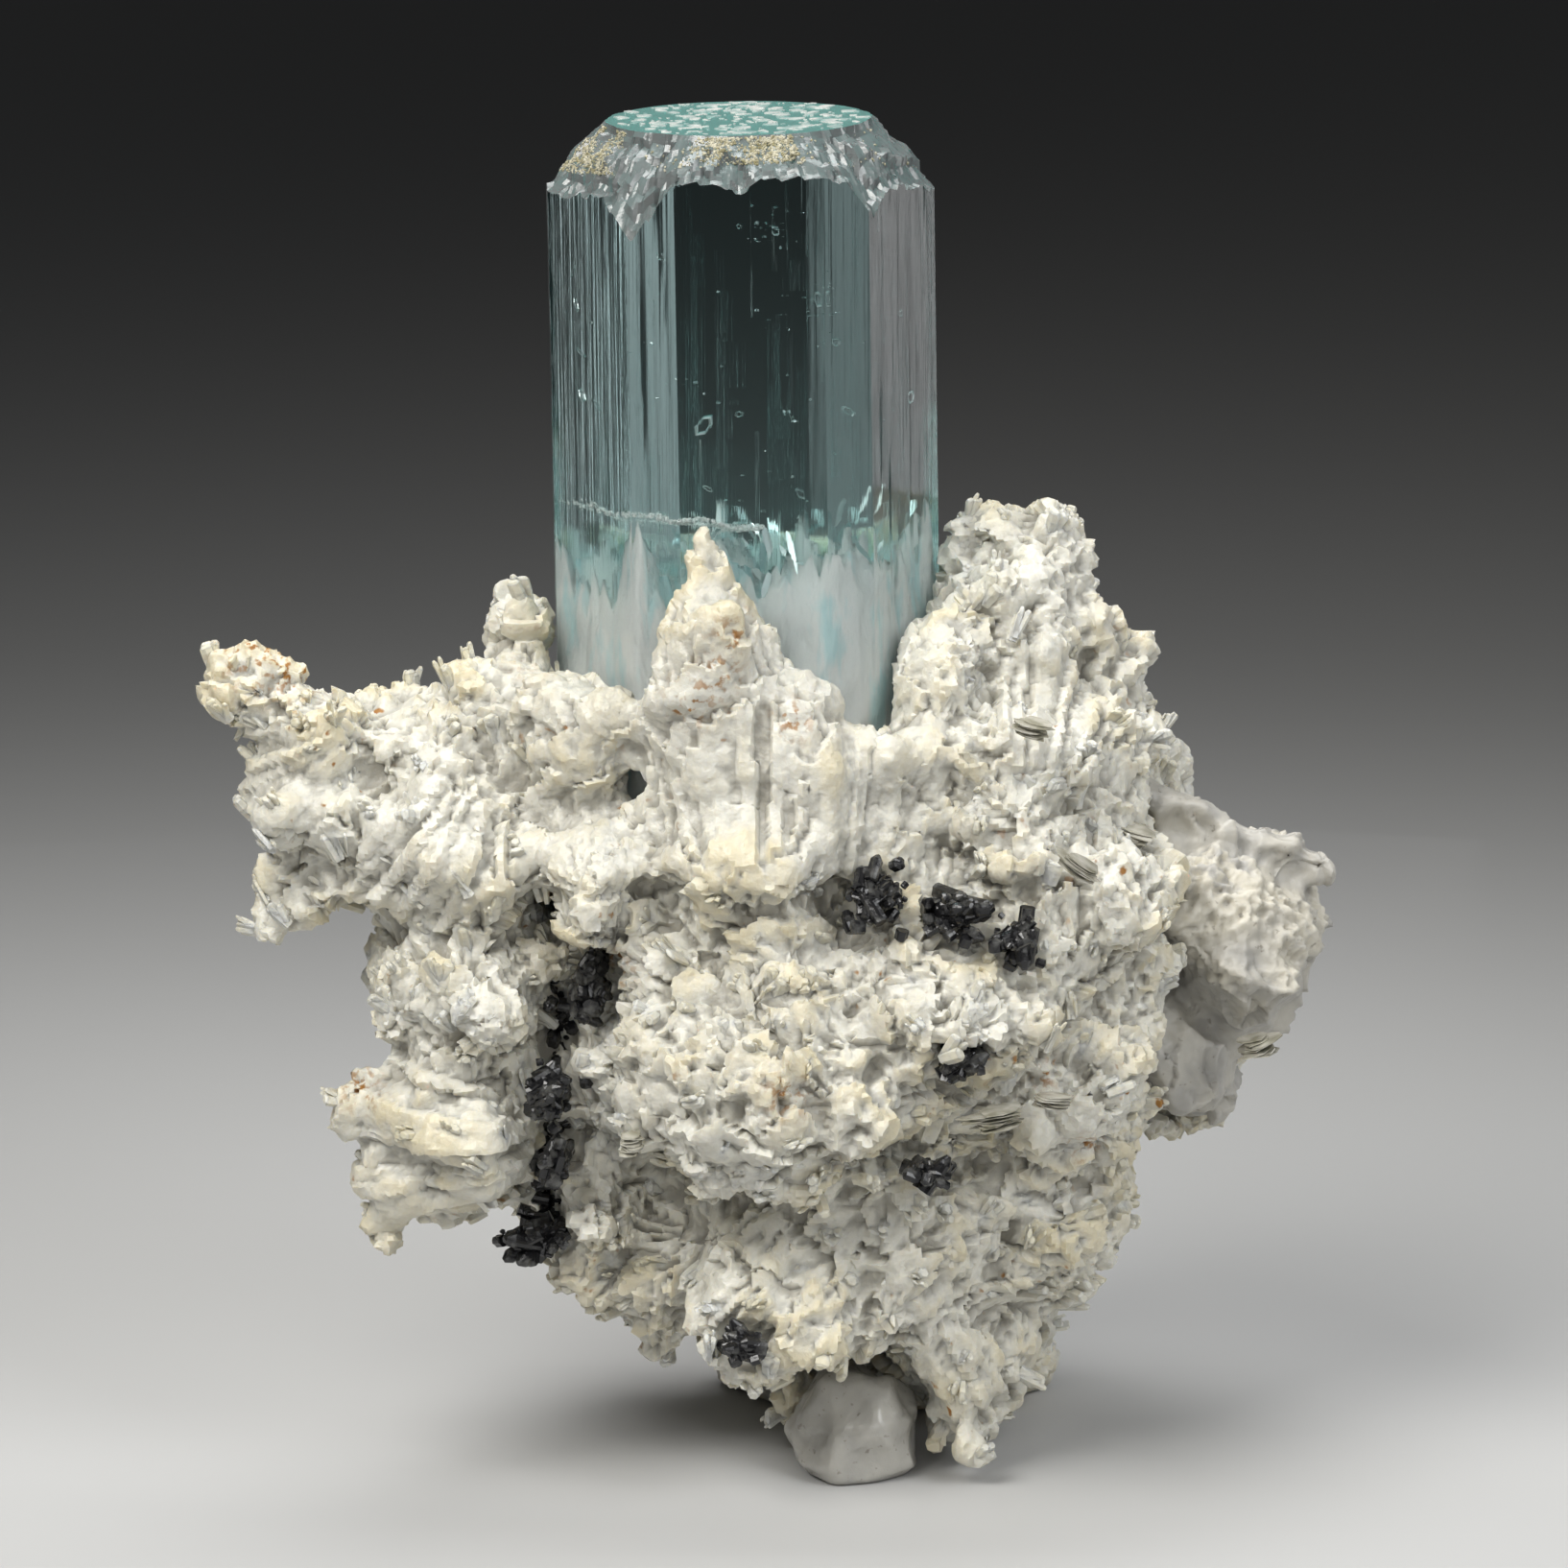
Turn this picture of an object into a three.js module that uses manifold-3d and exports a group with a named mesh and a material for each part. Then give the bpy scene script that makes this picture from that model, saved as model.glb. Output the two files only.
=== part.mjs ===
// Aquamarine crystal standing in its matrix of bladed albite, with grey quartz, black tourmaline and mica.
// Millimetres, +Z up. +X runs to the right along the broad front and +Y runs from the front to the back.
// The origin is on the flat patch that it stands on, under the small quartz knob at the front.
import * as THREE from "three";
import { ConvexGeometry } from "three/addons/geometries/ConvexGeometry.js";
import { mergeVertices } from "three/addons/utils/BufferGeometryUtils.js";
import Module from "manifold-3d";

const wasm = await Module();
wasm.setup();

// ---- Driving dimensions ----
const BROAD_FACE = 12.2; // width of each of the six broad prism faces
const NARROW_FACE = 4.5; // width of each narrow face that bevels the edge between two broad ones
const CRYSTAL_TOP = 114.3; // height of the flat end of the crystal
const CRYSTAL_ROOT = 46; // height of the buried end
const CRYSTAL_X = -9.5;
const CRYSTAL_Y = 11;
const CRYSTAL_LEAN = -0.9; // degrees about +Y: the top leans a little to the left
const CRYSTAL_TURN = 3; // degrees about the crystal's own axis
const FIT_GAP = 0.3; // clearance between a piece and the socket it grew in
const ROUGHNESS = 0.14; // how far a clump's corners stray from a smooth ellipsoid, as a share of its radius

const degrees = THREE.MathUtils.degToRad;

// ---- Solids ----

// A closed three.js geometry as a manifold solid.
function solidOf(geometry) {
  const bare = geometry.clone();
  bare.deleteAttribute("normal");
  bare.deleteAttribute("uv");
  const merged = mergeVertices(bare, 1e-4);
  return new wasm.Manifold(
    new wasm.Mesh({
      numProp: 3,
      vertProperties: merged.attributes.position.array,
      triVerts: new Uint32Array(merged.index.array),
    }),
  );
}

// A manifold solid as a three.js geometry.
function geometryOf(solid) {
  const mesh = solid.getMesh();
  const geometry = new THREE.BufferGeometry();
  const position = new THREE.BufferAttribute(mesh.vertProperties, 3);
  geometry.setAttribute("position", position);
  geometry.setIndex(new THREE.BufferAttribute(mesh.triVerts, 1));
  geometry.computeVertexNormals();
  return geometry;
}

function joined(solids) {
  return solids.reduce((whole, solid) => whole.add(solid));
}

// A repeatable number from -1 to 1 for any three inputs.
function scatter(a, b, c) {
  const wave = Math.sin(a * 12.9898 + b * 78.233 + c * 37.719) * 43758.5453;
  return 2 * (wave - Math.floor(wave)) - 1;
}

// A rough faceted ellipsoid. lean turns it about +Y, in degrees, so that +X tips downwards.
function clump({ at, radii, lean = 0, detail = 1 }, grow = 0) {
  const geometry = new THREE.IcosahedronGeometry(1, detail);
  const point = new THREE.Vector3();
  const place = geometry.attributes.position;
  for (let i = 0; i < place.count; i++) {
    point.fromBufferAttribute(place, i).normalize();
    const key = [point.x, point.y, point.z].map((n) => Math.round(n * 1000));
    point.multiplyScalar(1 + ROUGHNESS * scatter(key[0] + at[0], key[1] + at[1], key[2] + at[2]));
    place.setXYZ(i, point.x, point.y, point.z);
  }
  geometry.scale(radii[0] + grow, radii[1] + grow, radii[2] + grow);
  geometry.rotateY(degrees(lean));
  geometry.translate(...at);
  return solidOf(geometry);
}

// One tabular crystal: a six-sided plate, long axis along +Z from its root at the origin, thin along +Y.
function plateGeometry(length, width, thickness) {
  const half = width / 2;
  const shoulder = length - half * 0.9;
  const outline = new THREE.Shape();
  outline.moveTo(-half * 0.6, 0);
  outline.lineTo(half * 0.6, 0);
  outline.lineTo(half, shoulder);
  outline.lineTo(half * 0.35, length);
  outline.lineTo(-half * 0.45, length);
  outline.lineTo(-half, shoulder * 0.94);
  const geometry = new THREE.ExtrudeGeometry(outline, { depth: thickness, bevelEnabled: false });
  geometry.translate(0, 0, -thickness / 2);
  geometry.rotateX(Math.PI / 2);
  return geometry;
}

// A sheaf of plates from one root, fanned by spread degrees either side of its tip. size is width, thickness.
function sheaf({ root, tip, count, spread, size }) {
  const from = new THREE.Vector3(...root);
  const along = new THREE.Vector3(...tip).sub(from);
  const reach = along.length();
  along.normalize();
  const across = new THREE.Vector3(0, -1, 0).cross(along).normalize();
  const outward = along.clone().cross(across);
  const plates = [];
  for (let i = 0; i < count; i++) {
    const share = count > 1 ? i / (count - 1) - 0.5 : 0;
    const length = reach * (0.94 + 0.06 * scatter(i, root[0], root[2]));
    const plate = plateGeometry(length, ...size);
    plate.rotateZ(degrees(25 * scatter(i, root[1], 3)));
    const basis = new THREE.Matrix4().makeBasis(across, outward, along);
    const fan = new THREE.Matrix4().makeRotationAxis(outward, degrees(spread * share));
    const nod = new THREE.Matrix4().makeRotationAxis(across, degrees(14 * scatter(i, 5, root[2])));
    plate.applyMatrix4(fan.multiply(nod).multiply(basis));
    plate.translate(from.x, from.y, from.z);
    plates.push(solidOf(plate));
  }
  return joined(plates);
}

// ---- Aquamarine ----

// Height lost at each prism corner, counter-clockwise seen from above, from the right end of the front face.
const SHOULDER_DROPS = [2.5, 3.6, 5.4, 6.2, 5.4, 4.0, 3.4, 4.2, 6.6, 7.6, 5.2, 2.8];
const TOP_RADII = [11.3, 11.6, 11.9, 12, 11.6, 11, 10.6, 10.8, 10.6, 10.4, 10.7, 11.1];
const MIDDLE_SHARE = 0.55; // where the curved shoulder breaks, from the flat end out to the prism
const MIDDLE_DROP = 0.28; // share of the drop reached at that break

// The prism's twelve corners: six broad faces with a narrow one between each two.
function prismCorners(grow) {
  const inradius = NARROW_FACE + (BROAD_FACE * Math.sqrt(3)) / 2; // centre to a broad face
  const outer = Math.hypot(inradius, BROAD_FACE / 2);
  const halfBroad = Math.atan(BROAD_FACE / 2 / inradius);
  const corners = [];
  for (let face = 0; face < 6; face++) {
    const middle = -Math.PI / 2 + (face * Math.PI) / 3;
    for (const angle of [middle + halfBroad, middle + Math.PI / 3 - halfBroad]) {
      corners.push({ angle, radius: outer + grow });
    }
  }
  return corners;
}

function crystalGeometry(grow = 0) {
  const points = [];
  const ring = (angle, radius, z) =>
    points.push(new THREE.Vector3(radius * Math.cos(angle), radius * Math.sin(angle), z));
  prismCorners(grow).forEach(({ angle, radius }, i) => {
    const top = TOP_RADII[i] + grow;
    const middle = top + (radius - top) * MIDDLE_SHARE;
    ring(angle, radius, CRYSTAL_ROOT - grow);
    ring(angle, radius, CRYSTAL_TOP - SHOULDER_DROPS[i] + grow);
    ring(angle, middle, CRYSTAL_TOP - SHOULDER_DROPS[i] * MIDDLE_DROP + grow);
    ring(angle, top, CRYSTAL_TOP + grow);
  });
  const geometry = new ConvexGeometry(points);
  geometry.rotateZ(degrees(CRYSTAL_TURN));
  geometry.translate(0, 0, -CRYSTAL_ROOT);
  geometry.rotateY(degrees(CRYSTAL_LEAN));
  geometry.translate(CRYSTAL_X, CRYSTAL_Y, CRYSTAL_ROOT);
  return geometry;
}

// ---- Albite matrix ----

// Every clump is a rosette of blades that grew from one centre. Together they are one intergrown mass.
const ALBITE_CLUMPS = {
  // left arm
  arm_tip: { at: [-51.5, 2, 67.4], radii: [3.2, 5, 3.6], lean: 20 },
  arm_middle: { at: [-45, 3, 64], radii: [7.5, 7, 4], lean: 12 },
  arm_root: { at: [-36, 6, 61], radii: [9, 9, 6.5], lean: 10 },
  middle_spur: { at: [-46, 1, 58], radii: [6.8, 7, 5], lean: -6 },
  low_spur: { at: [-45, 2, 51], radii: [6.6, 6, 3], lean: -32 },
  left_body: { at: [-34, 3, 55], radii: [9.5, 12, 10] },
  // left of the crystal
  shoulder_block: { at: [-28.6, 9, 71], radii: [3.8, 6, 5.6] },
  shoulder_lump: { at: [-31.5, 5, 66.5], radii: [4.4, 7, 4.8] },
  left_collar: { at: [-24, 0, 64], radii: [8, 7, 5.5], lean: 12 },
  // lower left
  left_knob: { at: [-41, 5, 43.5], radii: [3, 5, 3.4] },
  left_panel: { at: [-33, 1, 43], radii: [9, 12, 8] },
  left_fan: { at: [-34, 0, 31.5], radii: [9.5, 11, 7.5], lean: -4 },
  left_under: { at: [-33, 8, 24.5], radii: [8, 9, 5] },
  // in front of the crystal
  flame: { at: [-12.8, -7.5, 65], radii: [4.8, 3.8, 14.5], lean: -3 },
  flame_root: { at: [-9, -8, 54], radii: [9, 7, 6] },
  flame_right: { at: [-5.4, -7, 62], radii: [5.4, 4.8, 10], lean: -14 },
  yellow_rosette: { at: [-22, -6, 52.5], radii: [5, 7, 6.4] },
  // centre
  centre_left: { at: [-13, 4, 39], radii: [16, 19, 15] },
  centre_right: { at: [5, 4, 41], radii: [17, 19, 15] },
  front_bulge: { at: [-7, -10, 37], radii: [14, 8, 11] },
  // right of the crystal
  right_front: { at: [11, 3, 61], radii: [12.5, 12, 9] },
  right_shoulder: { at: [12.6, 10, 73], radii: [8, 10, 9.5], lean: 30 },
  right_collar: { at: [7, 5, 67.5], radii: [6, 10, 8] },
  right_knob: { at: [21, 11, 68.6], radii: [4.6, 6, 3.4], lean: 6 },
  right_tooth: { at: [21, 8, 62], radii: [5.4, 7, 5.4] },
  right_body: { at: [16.5, 4, 49.5], radii: [11, 16, 11] },
  right_middle: { at: [17, 5, 36], radii: [9.5, 16, 10] },
  // low front
  right_low: { at: [13.4, 8, 23], radii: [9.6, 14, 11], lean: -30 },
  low_centre: { at: [-2, 5, 21], radii: [17, 17, 12] },
  low_left_rosette: { at: [-24.5, -1, 23], radii: [5, 7, 4.8] },
  low_left: { at: [-19, 7, 18.5], radii: [9, 12, 8], lean: 30 },
  eye_rosette: { at: [-7.6, -7, 15.5], radii: [7.6, 6, 7] },
  low_right: { at: [8.6, 8, 11], radii: [7.4, 13, 9.4] },
  foot_left: { at: [-4.6, 9, 6], radii: [4.6, 7, 6.5] },
  // behind
  back_crest_left: { at: [-13, 27, 58], radii: [12, 9, 10] },
  back_crest_right: { at: [8, 26, 61], radii: [13, 10, 10] },
  back_left: { at: [-26, 16, 48], radii: [11, 11, 13] },
  back_shoulder: { at: [21, 17, 55], radii: [9, 12, 10] },
  back_middle_right: { at: [12, 28, 42], radii: [17, 14, 16] },
  back_right: { at: [25, 20, 38], radii: [10, 14, 13] },
  back_low_left: { at: [-12, 23, 34], radii: [14, 13, 20] },
  back_low_right: { at: [10, 26, 24], radii: [14, 14, 13] },
  back_foot: { at: [1, 26, 8], radii: [16.5, 13, 13] },
};

// Sheaves whose separate blades stand out at the edges of the mass.
const ALBITE_SHEAVES = {
  arm_blades: { root: [-39, 4, 62], tip: [-54, 2, 67.4], count: 4, spread: 18, size: [4.6, 2.6] },
  middle_blades: { root: [-40, 1, 58], tip: [-52, 0, 57.5], count: 4, spread: 48, size: [4.5, 2.6] },
  low_blades: { root: [-38, 2, 54.5], tip: [-50.5, 1, 48], count: 3, spread: 18, size: [4, 2.4] },
  fan_blades: { root: [-26, -3, 32], tip: [-42.5, -3, 30.5], count: 6, spread: 60, size: [4, 2.2] },
  shoulder_blades: { root: [-29, 8, 64], tip: [-28.8, 8, 76], count: 3, spread: 22, size: [4.4, 3] },
  flame_blades: { root: [-12, -8, 56], tip: [-12.4, -6.4, 78], count: 4, spread: 22, size: [4.4, 2.2] },
  right_blades: { root: [14, 8, 63], tip: [26, 8, 61], count: 4, spread: 58, size: [4.6, 2.8] },
  crest_blades: { root: [10, 9, 66], tip: [13.2, 10, 82.4], count: 4, spread: 44, size: [5, 3] },
  low_left_blades: { root: [-19, 0, 24], tip: [-29, -3, 22.5], count: 4, spread: 54, size: [3.6, 2.2] },
  foot_blades: { root: [6.5, 4, 14], tip: [8, 2, 0.6], count: 4, spread: 30, size: [3.4, 2] },
};

// ---- Quartz, black tourmaline and mica ----

const QUARTZ_FLANK = [
  { at: [32, 12, 43.5], radii: [7.6, 12, 9.5], lean: 24 },
  { at: [28, 10, 48.5], radii: [9.5, 10, 5.5], lean: 22 },
  { at: [25.5, 12, 36], radii: [5.5, 10, 9], lean: -32 },
];
const QUARTZ_FOOT = { at: [-0.5, 2.6, 3.4], radii: [5.6, 7, 5.8] };

// Each cluster is a few stubby prisms round one middle, in a small open hollow of the albite.
const VUG = 1.7; // size of that hollow against the cluster's own
const TOURMALINE = {
  tourmaline_seam_top: { at: [-23.5, -6.5, 43.5], size: [2.6, 2.6, 3.8], count: 3 },
  tourmaline_seam_middle: { at: [-26, -9, 35.5], size: [2.8, 2.4, 2.6], count: 3 },
  tourmaline_seam_low: { at: [-25.6, -8.5, 29.2], size: [1.6, 2.2, 2.4], count: 3 },
  tourmaline_seam_end: { at: [-27.4, -4, 21.4], size: [2.4, 2.4, 3.2], count: 3 },
  tourmaline_pocket_left: { at: [0.5, -11.5, 53], size: [3.2, 2.6, 3], count: 3 },
  tourmaline_pocket_right: { at: [7, -12, 51.5], size: [3.6, 2.4, 1.8], count: 3 },
  tourmaline_right: { at: [13.2, -12.6, 49.6], size: [2.4, 2.4, 2.4], count: 3 },
  tourmaline_shelf: { at: [8.4, -14.5, 39.2], size: [1.4, 2, 1.2], count: 2 },
  tourmaline_speck: { at: [5.6, -13.2, 30], size: [1.4, 2, 0.9], count: 2 },
  tourmaline_eye: { at: [-10, -12.2, 14.8], size: [1.4, 2, 1.6], count: 2 },
};

// Each book is a stack of mica sheets, seen here as one six-sided block. tilt is its turn about X, Y and Z.
const MICA = {
  mica_shelf: { at: [10.6, -13.6, 34.6], across: 6.4, thick: 1.3, tilt: [8, 10, 0] },
  mica_shelf_upright: { at: [15.6, -12.4, 35.8], across: 5.2, thick: 0.9, tilt: [10, 72, 10] },
  mica_flank_top: { at: [22.6, 0.6, 55.4], across: 5.4, thick: 1.1, tilt: [24, -30, 0] },
  mica_flank: { at: [33.2, 0.4, 37.4], across: 5.2, thick: 1.3, tilt: [20, 24, 0] },
  mica_collar: { at: [13.6, -9.4, 66.6], across: 4.4, thick: 1, tilt: [-10, 78, 20] },
  mica_right: { at: [17.6, -12.4, 55.6], across: 5.6, thick: 1, tilt: [30, 14, 0] },
  mica_front: { at: [-19.2, -12.8, 32.2], across: 3.2, thick: 1.6, tilt: [12, 84, 0] },
};

function tourmalineSolid({ at, size, count }) {
  const core = clump({ at, radii: size.map((n) => n * 0.72), detail: 0 });
  const prisms = [];
  for (let i = 0; i < count; i++) {
    const turn = (i / count) * 2 * Math.PI + scatter(i, at[0], 1);
    const radius = 0.3 * Math.max(size[0], size[2]);
    const prism = new THREE.CylinderGeometry(radius, radius, 2.2 * radius, 6);
    prism.rotateX(scatter(i, at[1], 2) * 1.5);
    prism.rotateZ(scatter(i, at[2], 4) * 3);
    const reach = 0.62;
    prism.translate(
      at[0] + size[0] * reach * Math.cos(turn),
      at[1] - size[1] * 0.3 * (1 + scatter(i, 7, at[0])),
      at[2] + size[2] * reach * Math.sin(turn),
    );
    prisms.push(solidOf(prism));
  }
  return joined([core, ...prisms]);
}

function micaSolid({ at, across, thick, tilt }, grow = 0) {
  const radius = across / 2 + grow;
  const book = new THREE.CylinderGeometry(radius * 0.94, radius, thick + 2 * grow, 6);
  book.rotateX(Math.PI / 2);
  book.rotateX(degrees(tilt[0] - 90));
  book.rotateY(degrees(tilt[1]));
  book.rotateZ(degrees(tilt[2]));
  book.translate(...at);
  return solidOf(book);
}

// ---- Assembly ----

const floorBelow = new THREE.BoxGeometry(200, 200, 60);
floorBelow.translate(0, 0, -30);
const below = solidOf(floorBelow);

const crystal = solidOf(crystalGeometry());
const flank = joined(QUARTZ_FLANK.map((one) => clump(one)));
const foot = clump(QUARTZ_FOOT).subtract(below);
const tourmalines = Object.entries(TOURMALINE).map(([name, one]) => [name, tourmalineSolid(one)]);
const micas = Object.entries(MICA).map(([name, one]) => [name, micaSolid(one)]);

const vugs = Object.values(TOURMALINE).map(({ at, size }) =>
  clump({ at, radii: size.map((n) => n * VUG), detail: 0 }, FIT_GAP),
);
const sockets = [
  solidOf(crystalGeometry(FIT_GAP)),
  ...QUARTZ_FLANK.map((one) => clump(one, FIT_GAP)),
  clump(QUARTZ_FOOT, FIT_GAP),
  ...vugs,
  ...Object.values(MICA).map((one) => micaSolid(one, FIT_GAP)),
  below,
];
const albite = joined([
  ...Object.values(ALBITE_CLUMPS).map((one) => clump(one)),
  ...Object.values(ALBITE_SHEAVES).map((one) => sheaf(one)),
]);
const carved = sockets.reduce((body, socket) => body.subtract(socket), albite);
// Only the outer skin is kept: gaps that the clumps enclose between them are solid albite.
const [matrix] = carved.decompose().sort((a, b) => b.volume() - a.volume());

const LOOKS = {
  aquamarine: { color: 0xcfeeee, roughness: 0.05, metalness: 0, transparent: true, opacity: 0.5 },
  albite: { color: 0xe9e6dc, roughness: 0.6, metalness: 0 },
  quartz: { color: 0xbdbab6, roughness: 0.3, metalness: 0 },
  tourmaline: { color: 0x18191b, roughness: 0.35, metalness: 0 },
  mica: { color: 0xb0a98c, roughness: 0.25, metalness: 0 },
};

const specimen = new THREE.Group();

function addPiece(name, look, solid) {
  const mesh = new THREE.Mesh(geometryOf(solid), new THREE.MeshStandardMaterial(LOOKS[look]));
  mesh.name = name;
  specimen.add(mesh);
}

addPiece("aquamarine_crystal", "aquamarine", crystal);
addPiece("albite_matrix", "albite", matrix);
addPiece("quartz_flank", "quartz", flank);
addPiece("quartz_foot", "quartz", foot);
for (const [name, solid] of tourmalines) addPiece(name, "tourmaline", solid);
for (const [name, solid] of micas) addPiece(name, "mica", solid);

export default specimen;
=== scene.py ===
# Aquamarine crystal on bladed albite: the looks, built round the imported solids. Metres, +Z up.
import math
import random

import bmesh
import bpy
import numpy as np
from mathutils import Matrix, Vector, noise
from mathutils.bvhtree import BVHTree
from mathutils.kdtree import KDTree


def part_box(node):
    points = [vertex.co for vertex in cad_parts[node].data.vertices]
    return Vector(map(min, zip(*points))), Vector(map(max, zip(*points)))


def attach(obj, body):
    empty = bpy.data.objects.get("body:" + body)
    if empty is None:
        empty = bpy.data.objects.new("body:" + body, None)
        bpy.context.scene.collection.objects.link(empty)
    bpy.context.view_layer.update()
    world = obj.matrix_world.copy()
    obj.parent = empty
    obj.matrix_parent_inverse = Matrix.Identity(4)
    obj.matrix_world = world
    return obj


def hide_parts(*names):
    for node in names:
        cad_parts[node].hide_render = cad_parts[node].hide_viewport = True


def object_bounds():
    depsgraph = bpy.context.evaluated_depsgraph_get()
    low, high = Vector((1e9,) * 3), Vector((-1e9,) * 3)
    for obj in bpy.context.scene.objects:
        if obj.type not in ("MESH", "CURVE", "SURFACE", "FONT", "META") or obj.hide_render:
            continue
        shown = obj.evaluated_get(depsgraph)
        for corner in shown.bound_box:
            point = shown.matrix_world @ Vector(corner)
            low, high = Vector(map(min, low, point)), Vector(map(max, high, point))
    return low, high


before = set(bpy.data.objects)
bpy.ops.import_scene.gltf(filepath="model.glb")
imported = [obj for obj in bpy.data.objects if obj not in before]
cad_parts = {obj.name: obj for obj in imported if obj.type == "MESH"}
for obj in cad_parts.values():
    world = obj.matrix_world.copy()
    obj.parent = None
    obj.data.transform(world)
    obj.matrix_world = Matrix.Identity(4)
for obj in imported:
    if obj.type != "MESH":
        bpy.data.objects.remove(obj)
cad_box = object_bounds()
MM = 0.001
noise.seed_set(6)  # without a seed, the vector noise differs from run to run
scene = bpy.context.scene

# ---- Floor, lamps and camera ----
# A pale matt table top under the specimen. The lamps are softboxes that stand close round it, so the table
# fades away behind it. The camera is a long lens a little above the specimen.
FLOOR_RADIUS = 1.6
CAMERA_DISTANCE = 0.7
CAMERA_ELEVATION = math.radians(12)
FRAME_WIDTH = 0.1307  # what the camera sees across at the specimen
SENSOR = 36.0

low, high = cad_box
middle = Vector((0.5 * (low.x + high.x), 0.0, 0.5 * (low.z + high.z)))
CAMERA_AIM = middle + Vector((0.65, 0.0, 2.7)) * MM


def plain_material(name, color, roughness):
    """A Principled material of one colour, and its shader and node tree to build on."""
    material = bpy.data.materials.new(name)
    material.use_nodes = True
    shader = material.node_tree.nodes["Principled BSDF"]
    shader.inputs["Base Color"].default_value = (*color, 1)
    shader.inputs["Roughness"].default_value = roughness
    return material, shader, material.node_tree


def finished_object(name, bm, *materials):
    """Turns a bmesh into an object at the origin that carries these materials."""
    mesh = bpy.data.meshes.new(name)
    bm.to_mesh(mesh)
    bm.free()
    return object_of(name, mesh, *materials)


def object_of(name, mesh, *materials):
    """An object at the origin that shows this mesh in these materials."""
    mesh.name = name
    for material in materials:
        mesh.materials.append(material)
    made = bpy.data.objects.new(name, mesh)
    scene.collection.objects.link(made)
    return made


floor_material, _, _ = plain_material("matt_table_top", (0.50, 0.50, 0.495), 0.55)
bm = bmesh.new()
bmesh.ops.create_circle(bm, cap_ends=True, radius=FLOOR_RADIUS, segments=96)
finished_object("floor", bm, floor_material)


def softbox(name, azimuth, elevation, distance, size, power, spread=180, color=(1, 1, 1)):
    """A rectangular lamp that faces the specimen. Azimuth 0 is the camera's side and 90 is the right."""
    lamp = bpy.data.lights.new(name, "AREA")
    lamp.shape = "RECTANGLE"
    lamp.size, lamp.size_y = size
    lamp.energy = power
    lamp.color = color
    lamp.spread = math.radians(spread)
    turn, lift = math.radians(azimuth), math.radians(elevation)
    away = Vector((math.sin(turn) * math.cos(lift), -math.cos(turn) * math.cos(lift), math.sin(lift)))
    made = bpy.data.objects.new(name, lamp)
    made.location = middle + away * distance
    made.rotation_euler = (-away).to_track_quat("-Z", "Y").to_euler()
    made.visible_camera = False
    scene.collection.objects.link(made)


softbox("key_left", -42, 48, 0.42, (0.26, 0.24), 0.50, 80, (1.0, 0.985, 0.95))
softbox("fill_right", 52, 36, 0.42, (0.24, 0.26), 0.24, 80, (0.97, 0.985, 1.0))
softbox("front", 6, 20, 0.55, (0.30, 0.20), 0.09, 80)
softbox("top", 178, 72, 0.36, (0.26, 0.18), 0.24, 90)
softbox("edge_right", 126, 6, 0.36, (0.09, 0.22), 0.0145, 60)
softbox("rear_right", 166, 3, 0.26, (0.034, 0.16), 0.0005, 40)
softbox("rear_left", -162, 3, 0.26, (0.040, 0.16), 0.00030, 40)

world = bpy.data.worlds.new("dim_room")
world.use_nodes = True
world.node_tree.nodes["Background"].inputs["Color"].default_value = (0.02, 0.0205, 0.021, 1)
scene.world = world
scene.view_settings.view_transform = "Standard"

camera_data = bpy.data.cameras.new("camera")
camera_data.sensor_width = SENSOR
camera_data.lens = SENSOR * CAMERA_DISTANCE / FRAME_WIDTH
camera_data.clip_start = 0.01
camera = bpy.data.objects.new("camera", camera_data)
towards_camera = Vector((0, -math.cos(CAMERA_ELEVATION), math.sin(CAMERA_ELEVATION)))
camera.location = CAMERA_AIM + towards_camera * CAMERA_DISTANCE
camera.rotation_euler = (-towards_camera).to_track_quat("-Z", "Y").to_euler()
scene.collection.objects.link(camera)
scene.camera = camera

# ---- Aquamarine crystal ----
# One clear prism of beryl: six broad faces with a narrow face between each two, striated along its length.
# The end is flat, with a shoulder that has chipped away in flat, tilted breaks. The root is in the albite.
BROAD_FACE = 12.2 * MM
NARROW_FACE = 4.5 * MM
CRYSTAL_TURN = math.radians(3)
STRIA_PITCH = 0.24 * MM
STRIA_DEPTH = 0.015 * MM
# How far the shoulder drops at each corner, mm, from the front face's right.
SHOULDER_DROPS = (2.5, 3.6, 5.4, 6.2, 5.4, 4.0, 3.4, 4.2, 5.0, 4.8, 4.0, 2.8)
TOP_RADIUS = 11.2 * MM

crystal_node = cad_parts["aquamarine_crystal"]
crystal_low, crystal_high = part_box("aquamarine_crystal")


def ring_centre(height, reach):
    """Middle of the CAD crystal's corners within reach of a height."""
    ring = [v.co for v in crystal_node.data.vertices if abs(v.co.z - height) < reach]
    return sum(ring, Vector()) / len(ring)


crystal_root = ring_centre(crystal_low.z, 0.7 * MM)
crystal_tip = ring_centre(crystal_high.z, 0.6 * MM)
CRYSTAL_LENGTH = (crystal_tip - crystal_root).length
lean = Vector((0, 0, 1)).rotation_difference(crystal_tip - crystal_root).to_matrix().to_4x4()
crystal_place = Matrix.Translation(crystal_root) @ lean @ Matrix.Rotation(CRYSTAL_TURN, 4, "Z")
to_crystal = crystal_place.inverted()

inradius = NARROW_FACE + BROAD_FACE * math.sqrt(3) / 2
outer_radius = math.hypot(inradius, BROAD_FACE / 2)
half_broad = math.atan(BROAD_FACE / 2 / inradius)
corner_angles = []
for face in range(6):
    face_angle = -math.pi / 2 + face * math.pi / 3
    corner_angles += [face_angle + half_broad, face_angle + math.pi / 3 - half_broad]


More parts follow.
